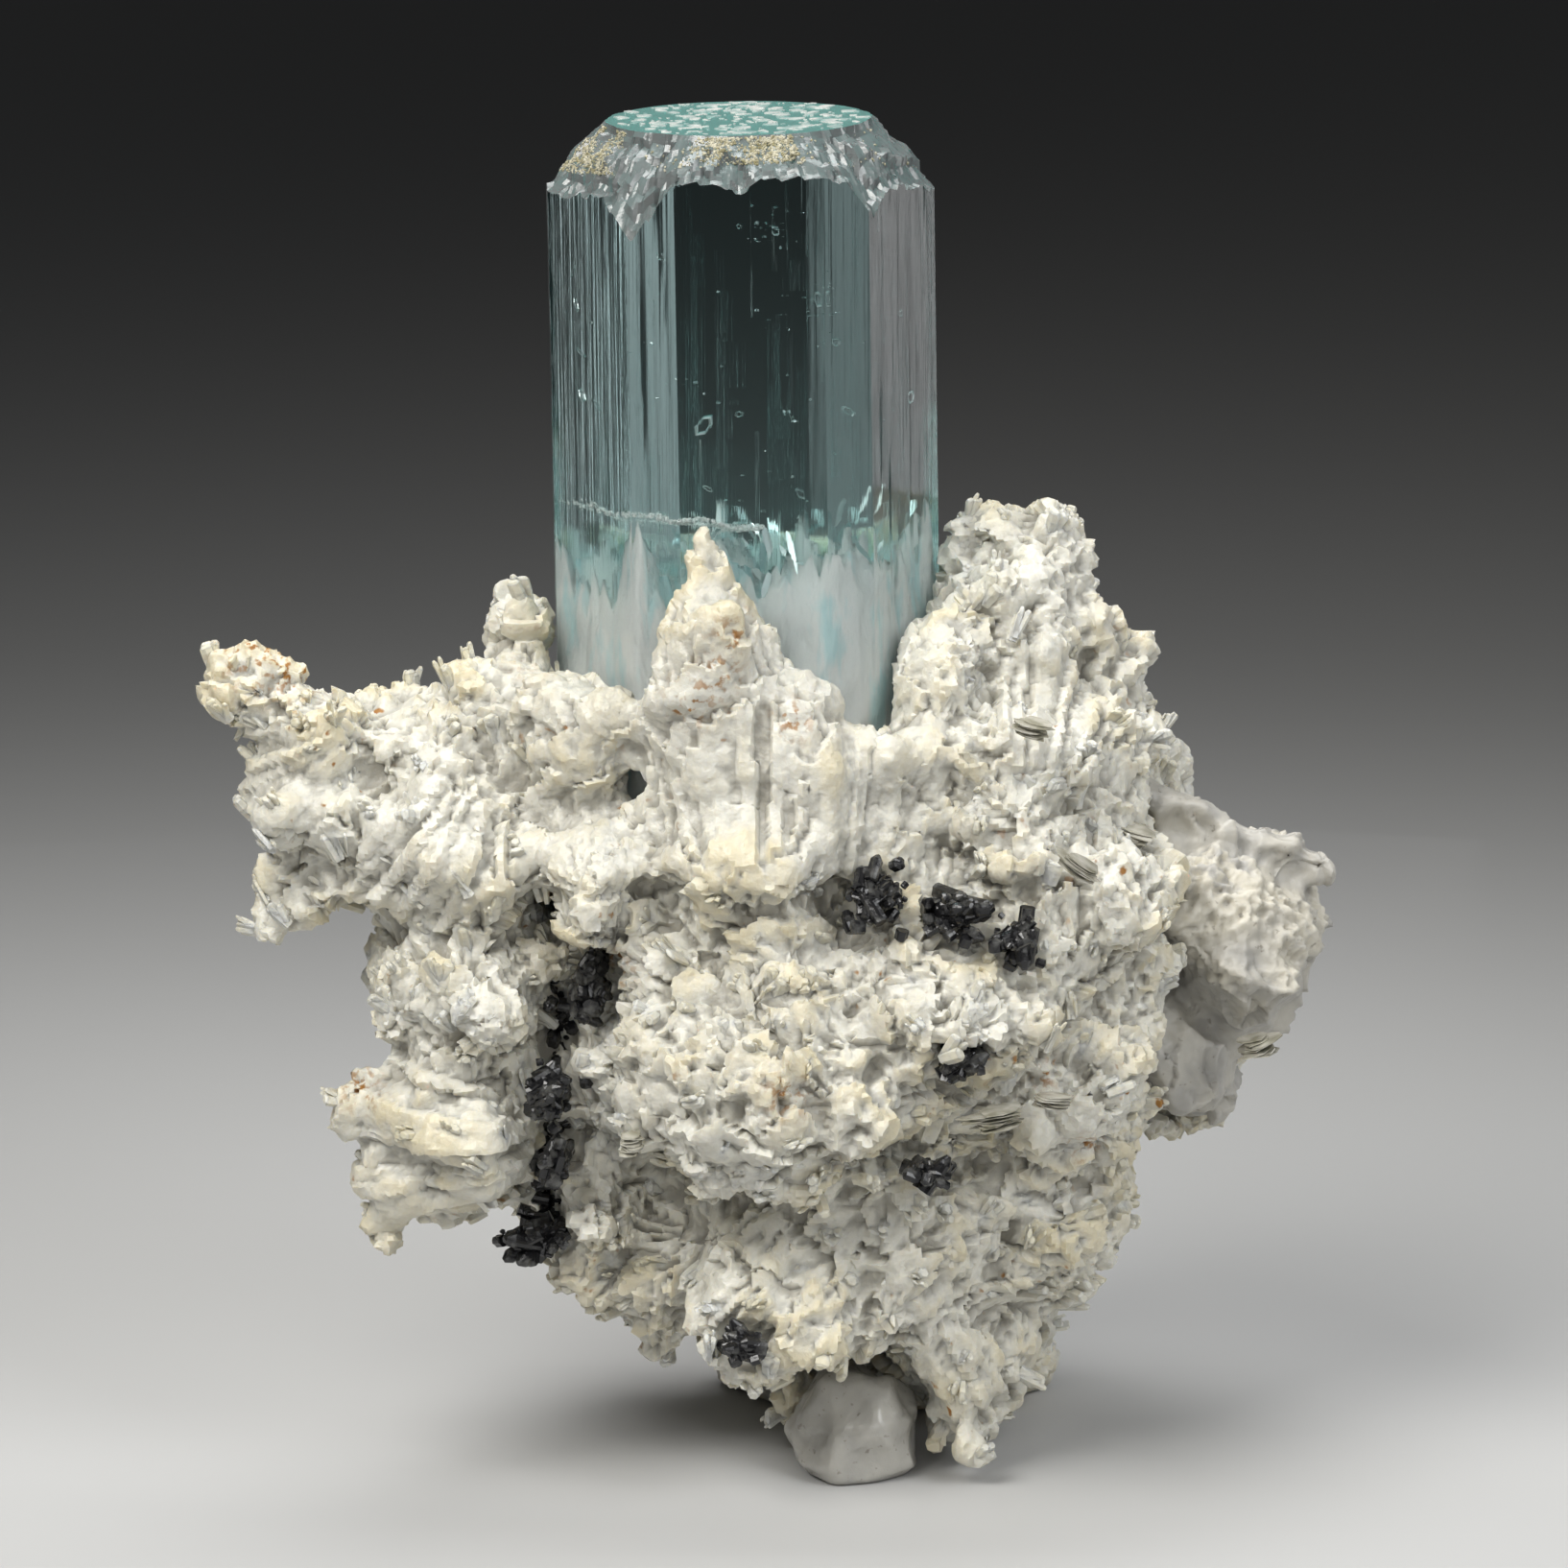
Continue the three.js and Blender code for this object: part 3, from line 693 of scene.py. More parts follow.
bm = bmesh.new()
bmesh.ops.create_grid(bm, x_segments=CLOUD_SIDES, y_segments=CLOUD_ROWS + CLOUD_LIDS, size=1)
for vert in bm.verts:
    around = math.pi * (vert.co.x + 1)
    row = (vert.co.y + 1) / 2 * (CLOUD_ROWS + CLOUD_LIDS)
    way = Vector((math.cos(around), math.sin(around), 0))
    facing = [(math.cos(around - a), offset) for a, offset in crystal_walls]
    wall = min(offset / toward for toward, offset in facing if toward > 0.2)
    up = min(1, row / CLOUD_ROWS)
    inwards = max(0, row - CLOUD_ROWS) / CLOUD_LIDS
    spot = way * (wall - 0.30 * MM) * (1 - inwards)
    spot.z = 0.4 * MM + (cloud_height(spot.x, spot.y) - 0.4 * MM) * up
    dent = abs(noise.noise(Vector((way.x * 3.5, way.y * 3.5, spot.z / (5 * MM)))))
    dent += 0.5 * abs(noise.noise(Vector((way.x * 12, way.y * 12, spot.z / (3 * MM)))))
    vert.co = spot - way * (1.1 * dent + 1.2 * up ** 8) * MM * (1 - inwards)
bmesh.ops.remove_doubles(bm, verts=bm.verts, dist=0.004 * MM)
bmesh.ops.holes_fill(bm, edges=[e for e in bm.edges if e.is_boundary], sides=0)
bmesh.ops.recalc_face_normals(bm, faces=bm.faces)
bmesh.ops.transform(bm, matrix=crystal_place, verts=bm.verts)
cloud_surface, cloud_shader, cloud_tree = plain_material("milky_root", (0.92, 0.95, 0.93), 0.45)
cloud_tone = ramp_of(cloud_tree, detail_noise(cloud_tree, 1, 4, (420, 420, 130)), 0.52, 0.68)
cloud_tree.links.new(mix_colors(cloud_tree, cloud_tone, (0.93, 0.95, 0.93), (0.66, 0.88, 0.89)),
                     cloud_shader.inputs["Base Color"])
cloud_shader.inputs["Transmission Weight"].default_value = 0.12
cloud_shader.inputs["IOR"].default_value = 1.2
add_bump(cloud_tree, cloud_shader, detail_noise(cloud_tree, 1, 5, (1500, 1500, 500)), 0.00025, 0.8)
cloud = finished_object("milky_root_cloud", bm, cloud_surface)
cloud.data.polygons.foreach_set("use_smooth", [True] * len(cloud.data.polygons))
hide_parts("aquamarine_crystal")
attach(cloud, "root")

# ---- Albite matrix ----
# One intergrown mass of white albite. Over a lumpy core, fans of parallel laths lie like shingles, have grown
# into each other and point outwards and upwards. The mass grips the crystal's root.
CORE_VOXEL = 0.9 * MM
CORE_SHRINK = 0.5 * MM  # the fans stand this much proud of the core
LUMP_SIZE = 7.5 * MM
CENTRE_SPACING = 3.3 * MM
BASE_CLEAR = 2.2 * MM  # fans start above this height, so that the flat base stays flat
GRIP = 0.12 * MM  # how far the albite bites into the crystal's sides
MASS_CENTRE = Vector((-4, 14, 28)) * MM
SEAM = ((-23.5, 43.5), (-26, 35.5), (-25.6, 29), (-27.4, 21))  # mm, x and z of the dark cleft down the left
SEAM_WIDE, SEAM_DEEP = 2.6 * MM, 2.4 * MM

wall_normals = np.array([[math.cos(a), math.sin(a), 0] for a, _ in crystal_walls])
wall_offsets = np.array([offset for _, offset in crystal_walls])
to_crystal_array = np.array(to_crystal)
crystal_turn_array = np.array(crystal_place.to_3x3())


def depth_in_crystal(points):
    """For rows of points: how far each is inside the crystal's sides, and the way out through the nearest."""
    local = points @ to_crystal_array[:3, :3].T + to_crystal_array[:3, 3]
    depths = wall_offsets - GRIP - local @ wall_normals.T
    nearest = depths.argmin(axis=1)
    depth = depths[np.arange(len(points)), nearest]
    depth[(local[:, 2] < 0) | (local[:, 2] > CRYSTAL_LENGTH)] = -1
    return depth, wall_normals[nearest] @ crystal_turn_array.T


def distance_to_seam(co):
    """How far a point is from the cleft, seen from the front."""
    flat = Vector((co.x, co.z))
    nearest = 1.0
    for start, end in zip(SEAM, SEAM[1:]):
        a, b = Vector(start) * MM, Vector(end) * MM
        share = max(0, min(1, (flat - a).dot(b - a) / (b - a).length_squared))
        nearest = min(nearest, (flat - a.lerp(b, share)).length)
    return nearest


# Lumps on the arm, the spurs and the left, and round the crystal: x, y, z and radius, mm.
EXTRA_LUMPS = (
    (-21.2, -5.0, 66.6, 3.0), (2.2, -6.5, 63.5, 3.0), (-12.9, -7.0, 70.0, 3.4), (-23, 4, 29, 3.4),
    (-24, 4, 24, 3.4), (-51.8, 2, 69.2, 3.6), (-48.5, 2, 67.0, 3.8), (-49.0, 2, 49.5, 3.4),
    (-50.5, 2, 46.8, 2.4), (-41.0, -3, 33.0, 3.8), (-40.5, -3, 27.5, 4.2), (-40.0, -2, 22.5, 3.4),
    (8.0, -2.5, 7.5, 3.0), (10.0, -2.5, 3.6, 2.4),
    (-4, -6.3, 58, 4.2), (-1, -6, 63, 3.2), (-6, -6.6, 65, 3.0), (2.5, -4, 57, 3.8), (-7.5, -6.8, 70, 1.8),
    (-14, -6.2, 58, 3.4), (-19, -3.5, 56, 3.6), (-2.5, -6.2, 68, 1.8), (-13, -6.8, 66, 2.4),
    (-22, 22, 60, 5.0), (-15, 27, 62, 5.0), (-7, 28, 64, 5.2), (1, 26.5, 62, 5.2), (7.5, 20, 62, 4.6),
    (-19, 25, 68, 3.8), (-10, 28, 71, 3.8), (-2, 27.5, 70, 4.0), (5, 23, 69, 3.6), (-25.5, 16, 60, 4.0),
    (-14, 28, 76, 2.6), (-5, 28, 76, 2.8),
)
FLAME_BLADES = (  # mm: x and z of each point of the flame, x and z of its root, how wide
    (-13.2, 83.6, -12.2, 68, 15.0), (-9.4, 76.5, -7.5, 62, 9.5), (-15.6, 73.0, -16, 56, 6.5),
    (-6.2, 72.5, -4.5, 56, 8.0), (-2.6, 69.5, -2.0, 54, 8.0), (-17.8, 67.5, -17.5, 53, 6.0),
    (1.2, 66.5, 1.0, 52, 6.5), (-11.0, 70.0, -11, 50, 8.0), (-19.6, 62.0, -18.5, 50, 5.5),
    (-11.5, 72.0, -10.5, 56, 10.0),
)
FLAME = ((-26, -30, 54), (6, 2, 86))  # mm: where the flame stands, and where the lumps are calmer


def cad_form_with_lumps(node_name, lumps):
    """The CAD solid's mesh, with a ball added for each x, y, z and radius, mm."""
    form = bmesh.new()
    form.from_mesh(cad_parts[node_name].data)
    bmesh.ops.remove_doubles(form, verts=form.verts, dist=0.002 * MM)
    for x, y, z, radius in lumps:
        lump = bmesh.ops.create_icosphere(form, subdivisions=2, radius=radius * MM)["verts"]
        bmesh.ops.translate(form, verts=lump, vec=Vector((x, y, z)) * MM)
    return form


def rounded_off(form, voxel, rounds):
    """The form's overlapping solids as one closed surface, smoothed over and over."""
    solid = applied(finished_object("lump", form), "REMESH", mode="VOXEL", voxel_size=voxel)
    form = bmesh.new()
    form.from_mesh(solid)
    all_ways = {"use_axis_x": True, "use_axis_y": True, "use_axis_z": True}
    for _ in range(rounds):
        bmesh.ops.smooth_vert(form, verts=form.verts, factor=0.5, **all_ways)
    form.normal_update()
    return form


bm = cad_form_with_lumps("albite_matrix", EXTRA_LUMPS)
for tip_x, tip_z, root_x, root_z, wide in FLAME_BLADES:
    tip, root = Vector((tip_x, -5.6, tip_z)) * MM, Vector((root_x, -7.4, root_z)) * MM
    turn = (tip - root).to_track_quat("Z", "Y").to_matrix()
    blade = bmesh.ops.create_cone(bm, cap_ends=True, segments=14, radius1=0.5, radius2=0.05, depth=1)["verts"]
    size = (wide * MM, 0.62 * wide * MM, (tip - root).length)
    bmesh.ops.transform(bm, matrix=place_on((tip + root) / 2, turn, size), verts=blade)


def in_flame(co):
    """True where the flame stands."""
    return all(a * MM < c < b * MM for a, c, b in zip(FLAME[0], co, FLAME[1]))


bm = rounded_off(bm, CORE_VOXEL, 2)
moved = []
for vert in bm.verts:
    co = vert.co
    first, second = noise.voronoi((co + 1.5 * MM * noise.noise_vector(co / (4 * MM))) / LUMP_SIZE)[0][:2]
    valley = max(0, 1 - (second - first) / 0.30)
    lumps = 1.5 * (0.55 - first) - 1.5 * valley + 0.8 * noise.noise(co / (3 * MM))
    above_base = min(1, max(0, (co.z - 0.5 * MM) / (2 * MM)))
    calm = 0.25 * min(1, (FLAME[1][2] * MM - co.z) / (14 * MM)) if in_flame(co) else 1
    spot = co + vert.normal * calm * (lumps * MM - CORE_SHRINK * above_base)
    if co.y < 4 * MM:
        cleft = max(0, 1 - distance_to_seam(co) / SEAM_WIDE)
        spot += Vector((0, SEAM_DEEP * cleft, 0))
    spot.z = max(spot.z, 0) if co.z > BASE_CLEAR else co.z
    moved.append(spot)
for vert, spot in zip(bm.verts, moved):
    vert.co = spot
bm.normal_update()
core_surface = BVHTree.FromBMesh(bm)

albite_random = random.Random(5)
candidates = list(bm.verts)
albite_random.shuffle(candidates)
grid = {}
centres = []
for vert in candidates:
    co = vert.co
    if co.z < BASE_CLEAR:
        continue
    cell = tuple(int(c // CENTRE_SPACING) for c in co)
    near = [q for dx in (-1, 0, 1) for dy in (-1, 0, 1) for dz in (-1, 0, 1)
            for q in grid.get((cell[0] + dx, cell[1] + dy, cell[2] + dz), ())]
    if any((co - q).length < CENTRE_SPACING for q in near):
        continue
    grid.setdefault(cell, []).append(co.copy())
    centres.append((co.copy(), vert.normal.copy()))
core_mesh = applied(finished_object("core", bm), "REMESH", mode="VOXEL", voxel_size=0.8 * CORE_VOXEL)

clusters = []
for node_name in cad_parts:
    if node_name.startswith(("tourmaline", "mica")):
        corner_low, corner_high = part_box(node_name)
        clusters.append(((corner_low + corner_high) / 2, (corner_high - corner_low) / 2))


def hides_a_cluster(point, grow):
    """True where a lath's tip would cover the tourmaline or the mica."""
    if point.y < 0 and distance_to_seam(point) < 1.2 * MM:
        return True
    return any(all(abs((point - centre)[k]) < half[k] + grow for k in range(3)) for centre, half in clusters)


def lath_form(segments, steps):
    """A unit lath: its root at the origin, growing along +Z, with a ring at each (height, radius)."""
    form = bmesh.new()
    bmesh.ops.create_circle(form, cap_ends=True, radius=steps[0][1], segments=segments)
    top = form.faces[:]
    for height, radius in steps[1:]:
        made = bmesh.ops.extrude_face_region(form, geom=top)["geom"]
        top = [g for g in made if isinstance(g, bmesh.types.BMFace)]
        for vert in top[0].verts:
            flat = Vector((vert.co.x, vert.co.y)).normalized() * radius
            vert.co = (flat.x, flat.y, height)
    bmesh.ops.recalc_face_normals(form, faces=form.faces)
    return form_of(form)


THICK_LATH = lath_form(6, ((0, 0.46), (0.55, 0.52), (0.92, 0.48), (1.0, 0.30)))
THIN_LATH = lath_form(4, ((0, 0.45), (0.90, 0.50), (1.0, 0.26)))


class Thicket:
    """Collects laths, to be joined into one mesh."""

    def __init__(self):
        self.points, self.faces, self.tips, self.count = [], [], [], 0

    def add(self, form, root, along, side, length, width, thickness):
        form_points, form_faces = form
        facing = along.cross(side).normalized()
        side = facing.cross(along)
        basis = np.array([side * width, facing * thickness, along * length])
        self.faces += [[i + self.count for i in face] for face in form_faces]
        self.points.append(form_points @ basis + np.array(root))
        self.tips.append(form_points[:, 2])
        self.count += len(form_points)


REGION_BOXES = {  # mm: the part of the mass that each piece covers. Neighbours overlap a little.
    "arm": ((-70, -40, 41), (-20, 16, 100)),
    "left": ((-70, -40, -5), (-20, 16, 43)),
    "right": ((8, -40, 29), (60, 16, 100)),
    "front": ((-22, -40, 29), (10, 16, 100)),
    "low": ((-22, -40, -5), (60, 16, 31)),
    "back_top": ((-70, 14, 35), (60, 70, 100)),
    "back_low": ((-70, 14, -5), (60, 70, 37)),
}
SKIN_VOXEL = 0.40 * MM
PIECE_TRIANGLES = 100000
thickets = {region: Thicket() for region in REGION_BOXES}
fans = []


def region_of(co):
    """The piece of the mass that a point belongs to."""
    for region, (corner_low, corner_high) in REGION_BOXES.items():
        if all(a * MM <= c <= b * MM for a, c, b in zip(corner_low, co, corner_high)):
            return region
    return "back_low"


def grow_laths(source, centre, growth, side, count, size, spread, width, thick, form, start):
    """Separate laths that stand out of the skin at the outer edge of a fan."""
    facing = side.cross(growth).normalized()
    thicket = thickets[region_of(centre)]
    for _ in range(count):
        share = source.uniform(-0.5, 0.5)
        along = Matrix.Rotation(spread * share, 3, facing) @ growth
        along = (along + facing * source.uniform(-0.22, 0.22)).normalized()
        root = centre - growth * size * (1 - start) + facing * source.uniform(-0.5, 0.5) * MM
        length = size * source.uniform(0.85, 1.15) * (1 - 0.4 * share * share)
        tip = root + along * length
        if tip.z < 0.8 * MM or hides_a_cluster(tip, 0.2 * MM):
            continue
        if depth_in_crystal(np.array([tip, (root + tip) / 2]))[0].max() > 0.3 * MM:
            continue
        lath_wide, lath_thick = width * source.uniform(0.7, 1.3), thick * source.uniform(0.6, 1.3)
        thicket.add(form, root, along, side, length, lath_wide, lath_thick)


NODULE_SHARE = 0.35  # how many of the fans are rounded nodules without laths
LATH_KINDS = (  # how many stand on a fan, how wide and thick, their form, and how far back they start
    (2, 1.2 * MM, 0.8 * MM, THICK_LATH, 0.34),
    (3, 0.7 * MM, 0.4 * MM, THIN_LATH, 0.38),
)
fan_is_nodule = []
for centre, normal in centres:
    outwards = (centre - MASS_CENTRE).normalized()
    drift = noise.noise_vector(centre / (12 * MM))
    if in_flame(centre):
        growth = Vector((0.035 * (centre.x / MM + 9.5), -0.30, 1)) + 0.35 * drift
    else:
        growth = 0.38 * normal + 0.60 * outwards + Vector((0, 0, 0.45)) + 0.9 * drift
    growth = (growth + 0.25 * Vector([albite_random.gauss(0, 1) for _ in range(3)])).normalized()
    slope = growth - normal * growth.dot(normal)
    slope = slope.normalized() if slope.length > 0.05 else normal.orthogonal().normalized()
    side = normal.cross(slope).normalized()
    lay_side = (Matrix.Rotation(albite_random.gauss(0, 0.5), 3, growth) @ side).normalized()
    fans.append((centre, slope, side))
    fan_is_nodule.append(albite_random.random() < NODULE_SHARE and not in_flame(centre))
    if fan_is_nodule[-1] or in_flame(centre):
        continue
    edge = centre + slope * 0.8 * MM
    spread = albite_random.uniform(0.6, 1.3)
    for count, width, thick, form, start in LATH_KINDS:
        size = albite_random.uniform(2.0, 2.9) * MM
        grow_laths(albite_random, edge, growth, lay_side, count, size, spread, width, thick, form, start)

fan_tree = KDTree(len(fans))
for k, (centre, _, _) in enumerate(fans):
    fan_tree.insert(centre, k)
fan_tree.balance()
RIB_ANGLE = 0.15
fan_chance = np.array([albite_random.random() for _ in fans])

# Large sprays, whose ribs all run from one root over a wide patch.
LARGE_SPRAYS = (  # mm: root, which way the ribs run, middle of the patch and its reach in x, y and z
    ((-22, -6, 31), (-1, 0, -0.05), (-36.5, -6, 28.5), (8.5, 10, 8.5)),
    ((-40, -6, 68), (-1, 0, -0.2), (-48, -2, 61), (6, 8, 4.5)),
    ((-30, -6, 66), (-0.7, 0, -1), (-36, -4, 55), (6, 8, 6.5)),
    ((4, -6, 18), (0.3, 0, -1), (8, -5, 8), (5, 7, 6.5)),
    ((-9, -10, 44), (-0.1, 0, 1), (-10, -9, 60), (5.5, 6, 9)),
    ((-2, -10, 44), (0.3, 0, 1), (-1, -9, 60), (4.0, 6, 7)),
    ((14, -8, 58), (0.3, 0, 1), (17, -4, 68), (7, 8, 6.5)),
    ((-6, -16, 22), (-0.8, 0, -0.7), (-13, -12, 15), (6.5, 9, 6)),
    ((10, -16, 40), (0.8, 0, -0.7), (16, -13, 32), (5.5, 7, 5)),
)
FIRST_SPRAY = len(fans)
for root, way, _, _ in LARGE_SPRAYS:
    way = Vector(way).normalized()
    fans.append((Vector(root) * MM, way, Vector((0, 1, 0)).cross(way)))
fan_chance = np.append(fan_chance, np.full(len(LARGE_SPRAYS), 0.7))
fan_is_nodule = np.array(fan_is_nodule + [False] * len(LARGE_SPRAYS))
fan_rib_angle = np.array([RIB_ANGLE if k < FIRST_SPRAY else 0.055 for k in range(len(fans))])
fan_strength = np.array([0.5 if in_flame(centre) else 1.0 for centre, _, _ in fans])
fan_strength[FIRST_SPRAY:] = 1.5
fan_centres, fan_slopes, fan_sides = (np.array([fan[k] for fan in fans]) for k in range(3))


def mesh_points(mesh, name="co"):
    """The mesh's points, or their normals, as rows."""
    points = np.zeros(len(mesh.vertices) * 3)
    mesh.vertices.foreach_get(name, points)
    return points.reshape(-1, 3)


def skin_mesh(region):
    """The region's part of the core as one closed, even surface."""
    corner_low, corner_high = (Vector(c) * MM for c in REGION_BOXES[region])
    block = bmesh.new()
    bmesh.ops.create_cube(block, size=1)
    bmesh.ops.scale(block, vec=corner_high - corner_low, verts=block.verts)
    bmesh.ops.translate(block, vec=(corner_low + corner_high) / 2, verts=block.verts)
    cutter = finished_object("region", block)
    whole = object_of("core_part", core_mesh.copy())
    part = applied(whole, "BOOLEAN", operation="INTERSECT", solver="EXACT", object=cutter)
    bpy.data.objects.remove(cutter)
    return applied(object_of("skin", part), "REMESH", mode="VOXEL", voxel_size=SKIN_VOXEL)


def neighbour_mean(points, edges):
    """Each point moved to the middle of its neighbours."""
    count = len(points)
    degree = np.bincount(edges.ravel(), minlength=count)
    first, second = edges.T
    total = [np.bincount(first, points[second, k], count) + np.bincount(second, points[first, k], count)
             for k in range(3)]
    return np.stack(total, axis=1) / degree[:, None]


def chance(first, second):
    """A repeatable random number from 0 to 1 for each pair."""
    return np.modf(np.abs(np.sin(first * 12.9898 + second * 78.233) * 43758.5453))[0]


def noise_at(points, size):
    """Smooth noise at each point, its features about size mm across."""
    return np.array([noise.noise(Vector(p) / (size * MM)) for p in points])


FAN_RISE = 0.28  # how steeply each fan rises to its outer edge
FAN_ROOT = 4.2 * MM  # how far below its middle a fan's blades come together
RIB_HEIGHT = 0.36 * MM
GRIT = 0.22 * MM
NODULE_RISE = 0.45 * MM


def shingle(mesh):
    """Raises the skin into overlapping fans of ribs, then fits it to the crystal."""
    points, normals = mesh_points(mesh), mesh_points(mesh, "normal")
    jagged = [Vector(p) + noise.noise_vector(Vector(p) / (1.1 * MM)) * 0.8 * MM for p in points]
    nearest = np.array([fan_tree.find(p)[1] for p in jagged])
    for k, (_, _, middle, reach) in enumerate(LARGE_SPRAYS):
        away = np.linalg.norm((np.array(jagged) - np.array(middle) * MM) / (np.array(reach) * MM), axis=1)
        nearest[away < 1] = FIRST_SPRAY + k
    offset = points - fan_centres[nearest]
    up_fan = (offset * fan_slopes[nearest]).sum(axis=1)
    across = (offset * fan_sides[nearest]).sum(axis=1)
    rib = np.floor(np.arctan2(across, up_fan + FAN_ROOT) / fan_rib_angle[nearest] + 0.5)
    step = np.floor((up_fan + 2.5 * MM * chance(rib, nearest * 0.37)) / (1.9 * MM))
    is_spray = nearest >= FIRST_SPRAY
    height = FAN_RISE * np.clip(up_fan, -2.4 * MM, np.where(is_spray, 0.4 * MM, 2.4 * MM))
    height += RIB_HEIGHT * (chance(rib, nearest) - 0.5) * 1.6
    steps = np.where(is_spray, 0.12, 0.45) * MM
    height += steps * (chance(rib + 7 * step, nearest) - 0.5) + (fan_chance[nearest] - 0.5) * 0.7 * MM
    away = np.linalg.norm(offset, axis=1) / (0.8 * CENTRE_SPACING)
    ridges = abs(noise_at(points, 2.2)) + 0.5 * abs(noise_at(points, 0.9))
    dome = NODULE_RISE * (np.sqrt(np.clip(1 - away ** 2, 0, 1)) - 0.5) + 1.6 * MM * (0.30 - ridges)
    height = np.where(fan_is_nodule[nearest], dome, height * fan_strength[nearest])
    grit = noise_at(points, 1.3) + noise_at(points, 0.6)
    way = normals + np.where(fan_is_nodule[nearest], 0.1, 0.5)[:, None] * fan_slopes[nearest]
    way /= np.linalg.norm(way, axis=1)[:, None]
    above_base = np.clip((points[:, 2] - 0.8 * MM) / (2 * MM), 0, 1)
    points = points + way * (height * above_base)[:, None] + normals * (grit * GRIT * above_base)[:, None]
    depth, out = depth_in_crystal(points)
    inside = depth > 0
    points[inside] += out[inside] * depth[inside, None]
    points[:, 2] = np.maximum(points[:, 2], 0.02 * MM)
    mesh.vertices.foreach_set("co", points.ravel())
    mesh.update()


IRON_SPOTS = (  # mm: x, z and radius of each rusty patch, on the front
    (-11.9, 71.5, 1.6), (-14.3, 69.0, 1.8), (-10.9, 74.8, 1.5), (-5.9, 67.5, 1.5), (-6.4, 37.5, 1.8),
    (-42, 35, 1.6), (-51, 71.5, 3.2), (-47, 69, 2.2), (-28.5, 71, 1.6), (18.5, 30, 1.5), (15, 37, 1.2),
    (-20.5, 46, 1.4),
)


def iron_stain(points):
    """How rusty each point is, from 0 to 1."""
    stain = np.zeros(len(points))
    for x, z, radius in IRON_SPOTS:
        away = np.hypot(points[:, 0] - x * MM, points[:, 2] - z * MM) / (radius * MM)
        stain += np.exp(-away ** 2)
    return np.where(points[:, 1] < 4 * MM, np.minimum(stain, 1), 0)


def mark_relief(mesh):
    """Marks the skin's hollows and its outer edges for the material: painted shade in the hollows and deep
    recesses, cream on the outer edges.
    """
    points, normals = mesh_points(mesh), mesh_points(mesh, "normal")
    edges = np.zeros(len(mesh.edges) * 2, dtype=np.int64)
    mesh.edges.foreach_get("vertices", edges)
    edges = edges.reshape(-1, 2)
    soft = points
    for step in range(40):
        soft = neighbour_mean(soft, edges)
        if step == 7:
            # How far each point lies in a hollow; the material paints shade there.
            hollow_shade = ((soft - points) * normals).sum(axis=1) / (0.30 * MM)
    outer = -((soft - points) * normals).sum(axis=1) / (0.8 * MM)
    for name, values in (("hollow_shade", hollow_shade), ("outer", outer), ("iron", iron_stain(points))):
        mesh.attributes.new(name, "FLOAT", "POINT").data.foreach_set("value", np.clip(values, -1, 1))


ALBITE_WHITE = (0.66, 0.645, 0.575)
ALBITE_CREAM = (0.62, 0.55, 0.37)
ALBITE_GREY = (0.46, 0.45, 0.40)
# The grey of the painted shade in the albite's hollows and deep recesses.
CREVICE_SHADE_GREY = (0.33, 0.315, 0.27)
IRON_BROWN = (0.30, 0.135, 0.022)


def times(tree, first, second):
    """The product of two values, each a number or a socket."""
    node = tree.nodes.new("ShaderNodeMath")
    node.operation = "MULTIPLY"
    for socket, value in zip(node.inputs, (first, second)):
        if isinstance(value, bpy.types.NodeSocket):
            tree.links.new(value, socket)
        else:
            socket.default_value = value
    return node.outputs[0]


def attribute(tree, name):
    """The value that the mesh carries under this name."""
    node = tree.nodes.new("ShaderNodeAttribute")
    node.attribute_name = name
    return node.outputs["Fac"]


def albite_material(name, translucent):
    """Waxy white feldspar: cream outer edges, painted shade in the hollows and deep recesses, and brown iron
    spots in a few patches.
    """
    material, shader, tree = plain_material(name, ALBITE_WHITE, 0.38)
    color = mix_colors(tree, ramp_of(tree, detail_noise(tree, 900, 4), 0.36, 0.66), ALBITE_WHITE, ALBITE_GREY)
    color = mix_colors(tree, 0.55, color, ALBITE_WHITE)
    patch = ramp_of(tree, detail_noise(tree, 110, offset=(3, 1, 0)), 0.42, 0.62)
    edge = ramp_of(tree, attribute(tree, "outer"), 0.0, 0.75)
    color = mix_colors(tree, times(tree, times(tree, patch, edge), 0.7), color, ALBITE_CREAM)
    # Painted shade: the hollows, and the deep recesses below the smoothed surface, are darkened towards grey.
    hollow_shade = ramp_of(tree, attribute(tree, "hollow_shade"), 0.0, 0.9)
    color = mix_colors(tree, times(tree, hollow_shade, 0.85), color, CREVICE_SHADE_GREY)
    deep = ramp_of(tree, attribute(tree, "outer"), -0.25, -1.0)
    color = mix_colors(tree, times(tree, deep, 0.7), color, CREVICE_SHADE_GREY)
    spots = ramp_of(tree, detail_noise(tree, 620, 2, offset=(7, 7, 1)), 0.68, 0.74)
    spots = times(tree, spots, ramp_of(tree, detail_noise(tree, 70, offset=(5, 0, 9)), 0.52, 0.60))
    color = mix_colors(tree, spots, color, IRON_BROWN)
    rust = ramp_of(tree, detail_noise(tree, 1300, 4, offset=(2, 2, 2)), 0.52, 0.62)
    rust = times(tree, attribute(tree, "iron"), rust)
    color = mix_colors(tree, rust, color, IRON_BROWN)
    tree.links.new(color, shader.inputs["Base Color"])
    shader.inputs["Subsurface Weight"].default_value = translucent
    shader.inputs["Subsurface Radius"].default_value = (1.0, 0.85, 0.6)
    shader.inputs["Subsurface Scale"].default_value = 0.9 * MM
    add_bump(tree, shader, detail_noise(tree, 1500, 6), 0.28 * MM, 0.7)
    return material


